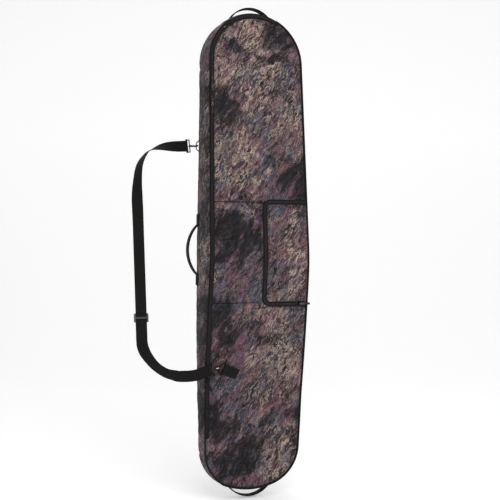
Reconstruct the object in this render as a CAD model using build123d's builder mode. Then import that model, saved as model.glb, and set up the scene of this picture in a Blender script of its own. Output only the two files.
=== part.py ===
# Padded snowboard bag, standing upright: +Z up, front towards -Y, +X to the right seen from the front.
# The origin is the centre of the flat back face. Lengths are in millimetres.
from build123d import *
import math
import os

os.makedirs("parts", exist_ok=True)

# ---- overall size -------------------------------------------------------------------------
HALF_LENGTH = 830.0        # half of the bag's length
SIDE_X = 182.5             # half width where the straight upper sides end
SIDE_Z = 40.0              # height where the straight upper sides end
SIDE_SLOPE = 0.0170        # how the upper sides lean towards the nose
FLANK_R = 14000.0          # long arc of the lower sides
CORNER_R = 140.0           # tail corner
TAIL_R = 260.0             # tail end
BACK_Y = -1.6              # outer plane of the back panel, behind the base patch
BACK_ROUND = 10.0          # rounding between the back panel and the gusset
FRONT_STATIONS = ((860.0, 98.3), (-31.0, 153.0), (-500.0, 87.0), (-860.0, 63.5))  # height, depth
FRONT_ROUND = 600.0        # bend radius between the straight stretches of the front

# ---- layers -------------------------------------------------------------------------------
WALL = 5.0                 # padded outer wall
LINING_IN = 5.4            # where the lining starts, measured in from the outer face
LINING_T = 1.0
FRONT_T = 4.0              # padded front panels
GAP = 0.3                  # stitch gap between separate pieces
HINGE_GAP = 0.6            # gap between the piping and the front panels, which fold back along it

# ---- seams and zips -----------------------------------------------------------------------
SEAM_UP = 172.0            # cross seam between the upper and the middle front panel
SEAM_LOW = -173.0          # cross seam between the middle and the lower front panel
SEAM_STEP = -189.0         # the same seam under the pocket
ZIP_END_Z = -621.0         # lower end of the main zip, on the left side
ZIP_END_X = 78.0           # other end, over the top
ZIP_BAND = 17.2            # width of the main zip's band, from the outline
SLIDER_UP_Z = 549.0
SLIDER_LOW_Z = 521.0
SLIDER_L = 20.0

POCKET_LEFT = 11.0
POCKET_RIGHT = 174.0
POCKET_TOP = 183.0
POCKET_LOW = -187.0
POCKET_CORNER = 32.0

# ---- strap --------------------------------------------------------------------------------
WEB_W = 38.0
WEB_T = 2.0
WIRE_R = 1.8               # D-ring wire
EYE_IN = 2.1
EYE_OUT = 3.8
D_HALF = 21.0
D_DEPTH = 22.9
JAW = 5.0                  # half width of the hook's opening
HOOK_W = 3.4
HOOK_T = 4.4
BAR_X = 34.6               # slot bar's distance from the D-ring wire


def unit(v):
    """A vector of length one."""
    return v * (1.0 / v.length)


def outline_wire(t):
    """The bag's outline in the XZ plane, moved in by t: every arc keeps its centre."""
    alpha = math.atan(SIDE_SLOPE)
    n = (math.cos(alpha), math.sin(alpha))
    c = SIDE_X * n[0] + SIDE_Z * n[1]
    r_top = (c - HALF_LENGTH * n[1]) / (1.0 - n[1])
    z_top = HALF_LENGTH - r_top
    flank = (SIDE_X - FLANK_R * n[0], SIDE_Z - FLANK_R * n[1])
    tail = (0.0, -HALF_LENGTH + TAIL_R)
    # corner centre: FLANK_R - CORNER_R from the flank centre, TAIL_R - CORNER_R from the tail centre
    d = math.hypot(tail[0] - flank[0], tail[1] - flank[1])
    r1 = FLANK_R - CORNER_R
    r2 = TAIL_R - CORNER_R
    a = (r1 * r1 - r2 * r2 + d * d) / (2 * d)
    h = math.sqrt(r1 * r1 - a * a)
    ux = (tail[0] - flank[0]) / d
    uz = (tail[1] - flank[1]) / d
    corner = (flank[0] + a * ux + h * uz, flank[1] + a * uz - h * ux)
    d2 = ((corner[0] - flank[0]) / r1, (corner[1] - flank[1]) / r1)
    d3 = ((corner[0] - tail[0]) / r2, (corner[1] - tail[1]) / r2)

    def at(centre, radius, direction):
        return (centre[0] + (radius - t) * direction[0], centre[1] + (radius - t) * direction[1])

    def between(a0, b0):
        m = (a0[0] + b0[0], a0[1] + b0[1])
        k = math.hypot(*m)
        return (m[0] / k, m[1] / k)

    p_top = at((0.0, z_top), r_top, n)
    p_side = at(flank, FLANK_R, n)
    p_side_mid = at(flank, FLANK_R, between(n, d2))
    p_low = at(flank, FLANK_R, d2)
    p_corner_mid = at(corner, CORNER_R, between(d2, d3))
    p_tail = at(corner, CORNER_R, d3)
    crown = (0.0, HALF_LENGTH - t)
    foot = (0.0, -HALF_LENGTH + t)

    def left(p):
        return (-p[0], p[1])

    with BuildLine(Plane.XZ) as line:
        ThreePointArc(p_top, crown, left(p_top))
        Line(left(p_top), left(p_side))
        ThreePointArc(left(p_side), left(p_side_mid), left(p_low))
        ThreePointArc(left(p_low), left(p_corner_mid), left(p_tail))
        ThreePointArc(left(p_tail), foot, p_tail)
        ThreePointArc(p_tail, p_corner_mid, p_low)
        ThreePointArc(p_low, p_side_mid, p_side)
        Line(p_side, p_top)
    return line.line


def side_x(z, t=0.0):
    """Half width of the bag on its straight upper sides."""
    return SIDE_X - SIDE_SLOPE * (z - SIDE_Z) - t


def depth(z):
    """Depth of the bag at a height, on the straight stretches of the front."""
    for (z1, d1), (z2, d2) in zip(FRONT_STATIONS, FRONT_STATIONS[1:]):
        if z2 <= z <= z1:
            return d2 + (d1 - d2) * (z - z2) / (z1 - z2)
    return FRONT_STATIONS[-1][1]


def disc(t, y0=20.0, y1=-240.0):
    """Everything inside the outline moved in by t, from y0 to y1."""
    with BuildPart() as body:
        with BuildSketch(Plane.XZ.offset(-y0)):
            with BuildLine(Plane.XZ.offset(-y0)):
                add(outline_wire(t).moved(Location((0, y0, 0))))
            make_face()
        extrude(amount=y0 - y1)
    return body.part


def ring(t0, t1, y0=20.0, y1=-240.0):
    """The band between two outlines."""
    with BuildPart() as body:
        add(disc(t0, y0, y1))
        add(disc(t1, y0 + 1, y1 - 1), mode=Mode.SUBTRACT)
    return body.part


def layer(a, b):
    """The sheet that lies between a and b in front of the front face, over the whole width."""
    inner = [(-(d + a), z) for z, d in FRONT_STATIONS]
    outer = [(-(d + b), z) for z, d in FRONT_STATIONS]
    with BuildPart() as body:
        with BuildSketch(Plane.YZ):
            with BuildLine():
                FilletPolyline(*inner, radius=FRONT_ROUND)
                FilletPolyline(*outer, radius=FRONT_ROUND)
                Line(inner[0], outer[0])
                Line(inner[-1], outer[-1])
            make_face()
        extrude(amount=300, both=True)
    return body.part


def behind(a):
    """Everything behind the front face moved out by a."""
    edge = [(-(d + a), z) for z, d in FRONT_STATIONS]
    with BuildPart() as body:
        with BuildSketch(Plane.YZ):
            with BuildLine():
                FilletPolyline(*edge, radius=FRONT_ROUND)
                Polyline(edge[0], (60.0, edge[0][1]), (60.0, edge[-1][1]), edge[-1])
            make_face()
        extrude(amount=300, both=True)
    return body.part


def hull(t, a):
    """The bag's rounded block moved in by t, with its front at offset a."""
    with BuildPart() as body:
        add(disc(t, BACK_Y - t))
        fillet(body.edges().group_by(Axis.Y)[-1], radius=BACK_ROUND - t)
        add(behind(a), mode=Mode.INTERSECT)
    return body.part


def block(x0, x1, y0, y1, z0, z1):
    """A box given by its limits."""
    with BuildPart() as body:
        with Locations(((x0 + x1) / 2, (y0 + y1) / 2, (z0 + z1) / 2)):
            Box(abs(x1 - x0), abs(y1 - y0), abs(z1 - z0))
    return body.part


def front_polygon(*points):
    """A region of the front given by corners in x and z, through the whole depth."""
    with BuildPart() as body:
        with BuildSketch(Plane.XZ.offset(-60)):
            with BuildLine():
                Polyline(*points, close=True)
            make_face()
        extrude(amount=320)
    return body.part


def keep(first, *others):
    """The space that all the given solids share."""
    with BuildPart() as body:
        add(first)
        for other in others:
            add(other, mode=Mode.INTERSECT)
    return body.part


def less(first, *others):
    """The first solid with the others taken away."""
    with BuildPart() as body:
        add(first)
        for other in others:
            add(other, mode=Mode.SUBTRACT)
    return body.part


def joined(*solids):
    """Several solids as one."""
    with BuildPart() as body:
        for solid in solids:
            add(solid)
    return body.part


# ---- shared regions -----------------------------------------------------------------------
zip_zone = joined(
    block(-260, 0, 60, -260, ZIP_END_Z, 880),
    block(-10, ZIP_END_X, 60, -260, 600, 880),
)
zip_band = keep(ring(-12, ZIP_BAND), zip_zone)
above_seam = front_polygon(
    (-300, SEAM_LOW + 0.4), (-1.6, SEAM_LOW + 0.4), (6.4, SEAM_STEP + 0.4), (300, SEAM_STEP + 0.4),
    (300, 900), (-300, 900),
)
below_seam = front_polygon(
    (-300, SEAM_LOW - 0.4), (-2.0, SEAM_LOW - 0.4), (6.0, SEAM_STEP - 0.4), (300, SEAM_STEP - 0.4),
    (300, -900), (-300, -900),
)

# ---- back ---------------------------------------------------------------------------------
with BuildPart() as base_patch:
    add(disc(62, 0.0, BACK_Y + 0.1))
base_patch.part.label = "base_patch"
export_step(base_patch.part, "parts/base_patch.step")

with BuildPart() as back_panel:
    add(disc(BACK_ROUND + 1, BACK_Y, BACK_Y - WALL))
back_panel.part.label = "back_panel"
export_step(back_panel.part, "parts/back_panel.step")

with BuildPart() as back_pad:
    add(disc(18, BACK_Y - 6.6, BACK_Y - 12.6))
back_pad.part.label = "back_pad"
export_step(back_pad.part, "parts/back_pad.step")

# ---- gusset, in four lengths ----------------------------------------------------------------
gusset_all = less(
    hull(0.0, -1.6),
    hull(WALL, 30.0),
    disc(BACK_ROUND + 1 - GAP),
)
TOP_CUT = 640.0
LOW_CUT = -700.0
with BuildPart() as gusset_left:
    add(keep(gusset_all, block(-260, 0, 60, -260, LOW_CUT + 0.2, TOP_CUT - 0.2)))
gusset_left.part.label = "gusset_left"
export_step(gusset_left.part, "parts/gusset_left.step")
with BuildPart() as gusset_right:
    add(keep(gusset_all, block(0, 260, 60, -260, LOW_CUT + 0.2, TOP_CUT - 0.2)))
gusset_right.part.label = "gusset_right"
export_step(gusset_right.part, "parts/gusset_right.step")
with BuildPart() as gusset_top:
    add(keep(gusset_all, block(-260, 260, 60, -260, TOP_CUT + 0.2, 900)))
gusset_top.part.label = "gusset_top"
export_step(gusset_top.part, "parts/gusset_top.step")
with BuildPart() as gusset_bottom:
    add(keep(gusset_all, block(-260, 260, 60, -260, -900, LOW_CUT - 0.2)))
gusset_bottom.part.label = "gusset_bottom"
export_step(gusset_bottom.part, "parts/gusset_bottom.step")

# ---- lining: one thin tub -------------------------------------------------------------------
with BuildPart() as lining:
    add(hull(LINING_IN, -9.5))
    add(hull(LINING_IN + LINING_T, 30.0), mode=Mode.SUBTRACT)
lining.part.label = "lining"
export_step(lining.part, "parts/lining.step")

# ---- front panels ---------------------------------------------------------------------------
front_all = less(keep(disc(WALL + HINGE_GAP), layer(-FRONT_T, 0.0)), zip_band)

with BuildPart() as front_lower:
    add(keep(front_all, below_seam))
front_lower.part.label = "front_lower"
export_step(front_lower.part, "parts/front_lower.step")
with BuildPart() as cover_middle:
    add(keep(front_all, above_seam, block(-260, 260, 60, -260, -300, SEAM_UP - 0.3)))
cover_middle.part.label = "cover_middle"
export_step(cover_middle.part, "parts/cover_middle.step")
with BuildPart() as cover_upper:
    add(keep(front_all, block(-260, 260, 60, -260, SEAM_UP + 0.3, 900)))
cover_upper.part.label = "cover_upper"
export_step(cover_upper.part, "parts/cover_upper.step")
with BuildPart() as cover_pad:
    add(keep(disc(21), layer(-FRONT_T - 4.3, -FRONT_T - 0.3), block(-260, 260, 60, -260, -165, 900)))
cover_pad.part.label = "cover_pad"
export_step(cover_pad.part, "parts/cover_pad.step")

with BuildPart() as piping:
    add(less(keep(ring(-1.5, WALL), layer(-1.3, 2.2)), zip_zone))
piping.part.label = "piping"
export_step(piping.part, "parts/piping.step")

# ---- main zip ---------------------------------------------------------------------------------
tape_shell = keep(ring(0.6, 8.6), layer(-1.3, -0.3), zip_zone)
coil_shell = keep(ring(6.0, 8.95), layer(-0.2, 1.9), zip_zone)
tape_front = keep(ring(10.4, 16.9), layer(-1.3, -0.3), zip_zone)
coil_front = keep(ring(10.05, 13.0), layer(-0.2, 1.9), zip_zone)
with BuildPart() as zip_tape_shell:
    add(tape_shell)
zip_tape_shell.part.label = "zip_tape_shell"
export_step(zip_tape_shell.part, "parts/zip_tape_shell.step")
with BuildPart() as zip_coil_shell:
    add(coil_shell)
zip_coil_shell.part.label = "zip_coil_shell"
export_step(zip_coil_shell.part, "parts/zip_coil_shell.step")
with BuildPart() as zip_tape_cover:
    add(keep(tape_front, above_seam))
zip_tape_cover.part.label = "zip_tape_cover"
export_step(zip_tape_cover.part, "parts/zip_tape_cover.step")
with BuildPart() as zip_coil_cover:
    add(keep(coil_front, above_seam))
zip_coil_cover.part.label = "zip_coil_cover"
export_step(zip_coil_cover.part, "parts/zip_coil_cover.step")
with BuildPart() as zip_tape_lower:
    add(keep(tape_front, below_seam))
zip_tape_lower.part.label = "zip_tape_lower"
export_step(zip_tape_lower.part, "parts/zip_tape_lower.step")
with BuildPart() as zip_coil_lower:
    add(keep(coil_front, below_seam))
zip_coil_lower.part.label = "zip_coil_lower"
export_step(zip_coil_lower.part, "parts/zip_coil_lower.step")
end_strip = keep(ring(0.8, 16.6), layer(-1.3, 1.6))
tab_low = keep(end_strip, block(-260, 0, 60, -260, ZIP_END_Z - 18, ZIP_END_Z - 0.4))
tab_high = keep(end_strip, block(ZIP_END_X + 0.4, ZIP_END_X + 18, 60, -260, 700, 900))
with BuildPart() as zip_end_tabs:
    add(less(joined(tab_low, tab_high), piping.part, front_lower.part, cover_upper.part))
zip_end_tabs.part.label = "zip_end_tabs"
export_step(zip_end_tabs.part, "parts/zip_end_tabs.step")

# ---- main zip sliders and pulls ---------------------------------------------------------------
def zip_slider(z):
    """A slider round both coils: outer plate with flanges, neck, inner plate, bridge for the pull."""
    span = block(-260, 0, 60, -260, z - SLIDER_L / 2, z + SLIDER_L / 2)
    neck = block(-260, 0, 60, -260, z - 3, z + 3)
    post = block(-260, 0, 60, -260, z - 1.6, z + 1.6)
    return joined(
        keep(ring(4.0, 15.0), layer(2.3, 3.6), span),
        keep(ring(4.2, 5.6), layer(0.1, 2.4), span),
        keep(ring(13.4, 14.8), layer(0.1, 2.4), span),
        keep(ring(9.15, 9.85), layer(-2.6, 2.4), neck),
        keep(ring(5.6, 13.4), layer(-3.2, -1.8), span),
        keep(ring(4.6, 6.0), layer(3.5, 8.0), post),
        keep(ring(13.0, 14.4), layer(3.5, 8.0), post),
    )


front_up = unit(Vector(0, -1, (FRONT_STATIONS[0][1] - FRONT_STATIONS[1][1]) / -891.0))
left_edge = unit(Vector(SIDE_SLOPE, (FRONT_STATIONS[1][1] - FRONT_STATIONS[0][1]) / 891.0, 1.0))


def bridge_point(z):
    """Middle of a slider's bridge bar."""
    return Vector(-side_x(z, 9.5), -depth(z) - 6.9, z)


def bridge_plane(z, up):
    """Local frame on the bridge bar: x along the zip, z out of the front."""
    way = left_edge if up else left_edge * -1.0
    return Plane(origin=bridge_point(z), x_dir=way, z_dir=front_up)


def bridge_bar(plane):
    """The bar that a pull hangs on, along the local y."""
    with BuildPart() as body:
        with BuildSketch(Plane(origin=plane.origin, x_dir=plane.x_dir, z_dir=plane.y_dir)):
            Circle(0.9)
        extrude(amount=4.6, both=True)
    return body.part


def pull_tab(plane, length, width=8.0):
    """A flat metal pull: an eye round the bar, a blade, a hole for its cord."""
    across = Plane(origin=plane.origin, x_dir=plane.x_dir, z_dir=plane.y_dir)
    with BuildPart() as body:
        with BuildSketch(across):
            Circle(2.2)
        extrude(amount=2.9, both=True)
        with BuildSketch(plane.offset(-0.8)):
            with Locations((length / 2 + 0.8, 0)):
                RectangleRounded(length - 1.2, width, 2.4)
        extrude(amount=1.6)
        with BuildSketch(across):
            Circle(1.1)
        extrude(amount=6, both=True, mode=Mode.SUBTRACT)
        with BuildSketch(plane.offset(-3)):
            with Locations((length - 4.0, 0)):
                SlotOverall(4.6, 3.0, rotation=90)
        extrude(amount=6, mode=Mode.SUBTRACT)
    return less(body.part, clear_of_posts(plane))


def clear_of_posts(plane):
    """Room for the bridge's two posts beside the eye."""
    with BuildPart() as body:
        for side in (-1, 1):
            with BuildSketch(plane.offset(-6)):
                with Locations((0, side * 4.6)):
                    Rectangle(7.0, 3.2)
            extrude(amount=12)
    return body.part


def cord_loop(plane, x0, x1):
    """A thin cord loop between two distances along the pull."""
    path_plane = Plane(origin=plane.origin, x_dir=plane.x_dir, z_dir=plane.y_dir * -1.0)
    with BuildPart() as body:
        with BuildLine(path_plane) as loop:
            FilletPolyline((x0, -2.4), (x1, -2.4), (x1, 2.4), (x0, 2.4), radius=2.2, close=True)
        with BuildSketch(Plane(origin=loop.line @ 0, z_dir=loop.line % 0)):
            Circle(1.1)
        sweep(path=loop.line)
    return body.part


def cord_knob(plane, x0, knob_r, knob_l):
    """The moulded end of a cord: a short barrel with a domed tip."""
    with BuildPart() as body:
        with BuildSketch(Plane(origin=plane.origin, x_dir=plane.x_dir, z_dir=plane.z_dir)):
            with BuildLine():
                Polyline((x0, 0), (x0, knob_r - 0.8), (x0 + 0.8, knob_r), (x0 + knob_l - knob_r, knob_r))
                ThreePointArc(
                    (x0 + knob_l - knob_r, knob_r),
                    (x0 + knob_l - knob_r * (1 - math.sqrt(0.5)), knob_r * math.sqrt(0.5)),
                    (x0 + knob_l, 0),
                )
                Line((x0 + knob_l, 0), (x0, 0))
            make_face()
        revolve(axis=Axis(plane.origin, plane.x_dir))
    return body.part


def pull_cord(plane, tab_length, length, knob_r, knob_l):
    """A cord looped through the tab's hole, with a moulded end."""
    x0 = tab_length - 4.0
    x1 = x0 + length
    return joined(cord_loop(plane, x0, x1), cord_knob(plane, x1 - 3, knob_r, knob_l))


plane_up = bridge_plane(SLIDER_UP_Z, True)
plane_low = bridge_plane(SLIDER_LOW_Z, False)
with BuildPart() as slider_upper:
    add(joined(zip_slider(SLIDER_UP_Z), bridge_bar(plane_up)))
slider_upper.part.label = "slider_upper"
export_step(slider_upper.part, "parts/slider_upper.step")
with BuildPart() as slider_lower:
    add(joined(zip_slider(SLIDER_LOW_Z), bridge_bar(plane_low)))
slider_lower.part.label = "slider_lower"
export_step(slider_lower.part, "parts/slider_lower.step")
with BuildPart() as pull_upper:
    add(pull_tab(plane_up, 26.0))
pull_upper.part.label = "pull_upper"
export_step(pull_upper.part, "parts/pull_upper.step")
with BuildPart() as pull_lower:
    add(pull_tab(plane_low, 26.0))
pull_lower.part.label = "pull_lower"
export_step(pull_lower.part, "parts/pull_lower.step")
with BuildPart() as pull_cord_upper:
    add(pull_cord(plane_up, 26.0, 22.0, 3.0, 10.0))
pull_cord_upper.part.label = "pull_cord_upper"
export_step(pull_cord_upper.part, "parts/pull_cord_upper.step")
with BuildPart() as pull_cord_lower:
    add(pull_cord(plane_low, 26.0, 22.0, 3.0, 10.0))
pull_cord_lower.part.label = "pull_cord_lower"
export_step(pull_cord_lower.part, "parts/pull_cord_lower.step")


# ---- pocket -------------------------------------------------------------------------------------
def pocket_disc(t, right=POCKET_RIGHT):
    """Everything inside the pocket's outline moved in by t on its three zipped sides."""
    r = POCKET_CORNER - t
    x0 = POCKET_LEFT + t
    z0 = POCKET_LOW + t
    z1 = POCKET_TOP - t
    k = r * (1 - math.sqrt(0.5))
    with BuildPart() as body:
        with BuildSketch(Plane.XZ.offset(60)):
            with BuildLine():
                Line((right, z0), (x0 + r, z0))
                ThreePointArc((x0 + r, z0), (x0 + k, z0 + k), (x0, z0 + r))
                Line((x0, z0 + r), (x0, z1 - r))
                ThreePointArc((x0, z1 - r), (x0 + k, z1 - k), (x0 + r, z1))
                Line((x0 + r, z1), (right, z1))
                Line((right, z1), (right, z0))
            make_face()
        extrude(amount=160)
    return body.part


def pocket_ring(t0, t1):
    """The band between two pocket outlines, open at the right."""
    return less(pocket_disc(t0), pocket_disc(t1, POCKET_RIGHT + 5))


POCKET_PIN_X = 150.0
with BuildPart() as pocket_tape_outer:
    add(keep(pocket_ring(0, 7.4), layer(0.3, 1.3)))
pocket_tape_outer.part.label = "pocket_tape_outer"
export_step(pocket_tape_outer.part, "parts/pocket_tape_outer.step")
with BuildPart() as pocket_coil_outer:
    add(keep(pocket_ring(5.0, 7.8), layer(1.5, 3.3)))
pocket_coil_outer.part.label = "pocket_coil_outer"
export_step(pocket_coil_outer.part, "parts/pocket_coil_outer.step")
with BuildPart() as pocket_coil_flap:
    add(keep(pocket_ring(8.8, 11.6), layer(1.5, 3.3)))
pocket_coil_flap.part.label = "pocket_coil_flap"
export_step(pocket_coil_flap.part, "parts/pocket_coil_flap.step")
with BuildPart() as pocket_tape_flap:
    add(keep(pocket_ring(9.2, 17.0), layer(0.3, 1.3)))
pocket_tape_flap.part.label = "pocket_tape_flap"
export_step(pocket_tape_flap.part, "parts/pocket_tape_flap.step")
with BuildPart() as pocket_flap:
    add(keep(pocket_disc(17.3), layer(0.3, 8.0)))
    add(keep(pocket_disc(20.3, POCKET_RIGHT - 3), layer(-1.0, 5.0)), mode=Mode.SUBTRACT)
pocket_flap.part.label = "pocket_flap"
export_step(pocket_flap.part, "parts/pocket_flap.step")
with BuildPart() as pocket_lining:
    add(keep(pocket_disc(22, POCKET_RIGHT - 12), layer(0.3, 1.1)))
pocket_lining.part.label = "pocket_lining"
export_step(pocket_lining.part, "parts/pocket_lining.step")

pocket_span = block(POCKET_PIN_X - 8, POCKET_PIN_X + 8, 60, -260, -260, -100)
pocket_neck = block(POCKET_PIN_X - 3, POCKET_PIN_X + 3, 60, -260, -260, -100)
pocket_post = block(POCKET_PIN_X + 1, POCKET_PIN_X + 4, 60, -260, -260, -100)
slope_low = (FRONT_STATIONS[1][1] - FRONT_STATIONS[2][1]) / (FRONT_STATIONS[1][0] - FRONT_STATIONS[2][0])
front_low = unit(Vector(0, -1, -slope_low))
pocket_mid_z = POCKET_LOW + 8.3
pocket_pin = Vector(POCKET_PIN_X + 2.5, -depth(pocket_mid_z) - 8.3, pocket_mid_z)
pocket_plane = Plane(origin=pocket_pin, x_dir=(1, 0, 0), z_dir=front_low)
pocket_plates = joined(
    keep(pocket_ring(2.6, 14.0), layer(3.7, 4.9), pocket_span),
    keep(pocket_ring(3.2, 4.6), layer(1.7, 3.8), pocket_span),
    keep(pocket_ring(12.0, 13.4), layer(1.7, 3.8), pocket_span),
    keep(pocket_ring(2.8, 4.2), layer(4.8, 9.4), pocket_post),
    keep(pocket_ring(12.4, 13.8), layer(4.8, 9.4), pocket_post),
    keep(pocket_ring(8.0, 8.6), layer(0.5, 3.8), pocket_neck),
)
with BuildPart() as pocket_slider:
    add(pocket_plates)
    add(bridge_bar(pocket_plane))
pocket_slider.part.label = "pocket_slider"
export_step(pocket_slider.part, "parts/pocket_slider.step")
with BuildPart() as pocket_pull:
    add(pull_tab(pocket_plane, 20.0, 7.0))
pocket_pull.part.label = "pocket_pull"
export_step(pocket_pull.part, "parts/pocket_pull.step")
with BuildPart() as pocket_cord:
    add(pull_cord(pocket_plane, 20.0, 16.0, 4.2, 9.0))
pocket_cord.part.label = "pocket_cord"
export_step(pocket_cord.part, "parts/pocket_cord.step")


# ---- grab handles -------------------------------------------------------------------------------
HANDLE_W = 25.0
HANDLE_T = 3.0
HANDLE_LIFT = 10.0         # how far the bending line stands off the gusset


def bow(half, rise, plane):
    """A bowed length of webbing: its ends are on the plane's x axis, its crown is at y = rise."""
    radius = (half * half + rise * rise) / (2 * rise)
    with BuildPart() as body:
        with BuildSketch(plane):
            with Locations((0, rise - radius)):
                Circle(radius + HANDLE_T / 2)
                Circle(radius - HANDLE_T / 2, mode=Mode.SUBTRACT)
            with Locations((0, 200)):
                Rectangle(600, 400, mode=Mode.INTERSECT)
        extrude(amount=HANDLE_W / 2, both=True)
    return body.part


def handle_foot(region, stub):
    """A sewn-down end of a handle, with the short neck that stands up from it."""
    return joined(keep(ring(-2.0, -0.2), region), keep(ring(-6.4, -0.2), stub))


TOP_HALF = 69.0
TOP_Y = -49.0
top_surface = HALF_LENGTH - 14.4
top_line = top_surface + HANDLE_LIFT
with BuildPart() as top_handle:
    add(bow(TOP_HALF, 32.0, Plane(origin=(0, TOP_Y, top_line), x_dir=(1, 0, 0), z_dir=(0, -1, 0))))
top_handle.part.label = "top_handle"
export_step(top_handle.part, "parts/top_handle.step")
low_line = -(HALF_LENGTH - 9.5) - HANDLE_LIFT
LOW_HALF = 66.0
LOW_Y = -34.0
with BuildPart() as bottom_handle:
    add(bow(LOW_HALF, 27.0, Plane(origin=(0, LOW_Y, low_line), x_dir=(-1, 0, 0), z_dir=(0, -1, 0))))
bottom_handle.part.label = "bottom_handle"
export_step(bottom_handle.part, "parts/bottom_handle.step")
SIDE_HALF = 78.0
SIDE_MID = 10.0
SIDE_Y = -23.0
side_line = -184.4 - HANDLE_LIFT
with BuildPart() as side_handle:
    add(bow(SIDE_HALF, 27.0, Plane(origin=(side_line, SIDE_Y, SIDE_MID), x_dir=(0, 0, 1), z_dir=(0, -1, 0))))
side_handle.part.label = "side_handle"
export_step(side_handle.part, "parts/side_handle.step")


def feet_across(half, y, z0, z1):
    """Both feet of a handle that runs across the bag's end."""
    w = HANDLE_W / 2
    return joined(*[
        handle_foot(
            block(side * (half - 3), side * (half + 36), y - w, y + w, z0, z1),
            block(side * (half - 2), side * (half + 2), y - 2.5, y + 2.5, z0, z1),
        )
        for side in (-1, 1)
    ])


with BuildPart() as top_handle_feet:
    add(feet_across(TOP_HALF, TOP_Y, 700, 900))
top_handle_feet.part.label = "top_handle_feet"
export_step(top_handle_feet.part, "parts/top_handle_feet.step")
with BuildPart() as bottom_handle_feet:
    add(feet_across(LOW_HALF, LOW_Y, -900, -700))
bottom_handle_feet.part.label = "bottom_handle_feet"
export_step(bottom_handle_feet.part, "parts/bottom_handle_feet.step")
with BuildPart() as side_handle_feet:
    for way in (-1, 1):
        end = SIDE_MID + way * SIDE_HALF
        add(
            handle_foot(
                block(-260, 0, SIDE_Y - HANDLE_W / 2 + 1, SIDE_Y + 9, end - way * 3, end + way * 46),
                block(-260, 0, SIDE_Y - 2.5, SIDE_Y + 2.5, end - way * 2, end + way * 2),
            )
        )
side_handle_feet.part.label = "side_handle_feet"
export_step(side_handle_feet.part, "parts/side_handle_feet.step")

# ---- inner tie-downs for the board ----------------------------------------------------------------
with BuildPart() as board_straps:
    for z in (-260.0, 260.0):
        add(block(-150, 150, BACK_Y - 14.6, BACK_Y - 12.9, z - 19, z + 19))
board_straps.part.label = "board_straps"
export_step(board_straps.part, "parts/board_straps.step")

# ---- D-rings and their sewn tabs ------------------------------------------------------------------
upper_bar = Vector(-161.0, 2.4, 373.0)
upper_pin = Vector(-183.5, -2.0, 373.0)
upper_out = unit(upper_pin - upper_bar)
upper_bar_dir = Vector(0, 0, 1)

TAB_TILT = 22.0
c22 = math.cos(math.radians(TAB_TILT))
s22 = math.sin(math.radians(TAB_TILT))
in_down = unit(Vector(0, slope_low, -1))       # down the lower front
in_right = Vector(1, 0, 0)
tab_dir = unit(in_right * c22 + in_down * s22)
lower_bar_dir = unit(front_low.cross(tab_dir))
LOWER_X = -116.6
LOWER_Z = -400.0
lower_foot = Vector(LOWER_X, -depth(LOWER_Z), LOWER_Z)
lower_bar = lower_foot + front_low * 4.3
lift = 6.3
lower_out = unit(tab_dir * -math.sqrt(D_DEPTH**2 - lift**2) + front_low * lift)
lower_pin = lower_bar + lower_out * D_DEPTH


def d_ring(bar, out, along):
    """A wire ring: straight bar, two legs, a shorter straight apex D_DEPTH away."""
    plane = Plane(origin=bar, x_dir=along, z_dir=along.cross(out))
    with BuildPart() as body:
        with BuildLine(plane) as loop:
            FilletPolyline(
                (-D_HALF, 0), (-D_HALF, 9), (-10, D_DEPTH), (10, D_DEPTH), (D_HALF, 9), (D_HALF, 0),
                radius=4.5, close=True,
            )
        with BuildSketch(Plane(origin=loop.line @ 0, z_dir=loop.line % 0)):
            Circle(WIRE_R)
        sweep(path=loop.line)
    return body.part


def d_tab(bar, down, inward, along, length):
    """A webbing tab: an eye round the ring's bar and a sewn tongue. down points at the fabric."""
    plane = Plane(origin=bar - along * (WEB_W / 2 - 1.5), x_dir=inward, z_dir=along)
    side = 1.0 if plane.y_dir.dot(down) > 0 else -1.0
    with BuildPart() as body:
        with BuildSketch(plane):
            Circle(EYE_OUT)
            with Locations((length / 2, side * (EYE_OUT - 0.9))):
                Rectangle(length, 1.8)
            Circle(EYE_IN, mode=Mode.SUBTRACT)
        extrude(amount=WEB_W - 3.0)
    return body.part


with BuildPart() as dring_upper:
    add(d_ring(upper_bar, upper_out, upper_bar_dir))
dring_upper.part.label = "dring_upper"
export_step(dring_upper.part, "parts/dring_upper.step")
with BuildPart() as dring_tab_upper:
    add(d_tab(upper_bar, Vector(0, -1, 0), Vector(1, 0, 0), upper_bar_dir, 34.0))
dring_tab_upper.part.label = "dring_tab_upper"
export_step(dring_tab_upper.part, "parts/dring_tab_upper.step")
with BuildPart() as dring_lower:
    add(d_ring(lower_bar, lower_out, lower_bar_dir))
dring_lower.part.label = "dring_lower"
export_step(dring_lower.part, "parts/dring_lower.step")
with BuildPart() as dring_tab_lower:
    add(d_tab(lower_bar, front_low * -1.0, tab_dir, lower_bar_dir, 56.0))
dring_tab_lower.part.label = "dring_tab_lower"
export_step(dring_tab_lower.part, "parts/dring_tab_lower.step")

# ---- shoulder strap ---------------------------------------------------------------------------------
strap_length = (upper_pin - lower_pin).length
u = unit(upper_pin - lower_pin)
e1 = unit(Vector(-1, 0, 0) - u * Vector(-1, 0, 0).dot(u))
facing = u.cross(e1)
TILT_LOW = math.radians(6.0)
pull_up = e1
pull_low = unit(e1 * math.cos(TILT_LOW) - u * math.sin(TILT_LOW))


def hook_plane(pin, pull):
    """Local frame of a hook: x away from the D-ring, y out of the strap's plane, z along the strap's line."""
    return Plane(origin=pin, x_dir=pull, z_dir=facing.cross(pull))


hook_up = hook_plane(upper_pin, pull_up)
hook_low = hook_plane(lower_pin, pull_low)
CROWN_X = 1.1              # arc centre near the D-ring
HEEL_X = 10.6              # arc centre near the swivel


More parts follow.
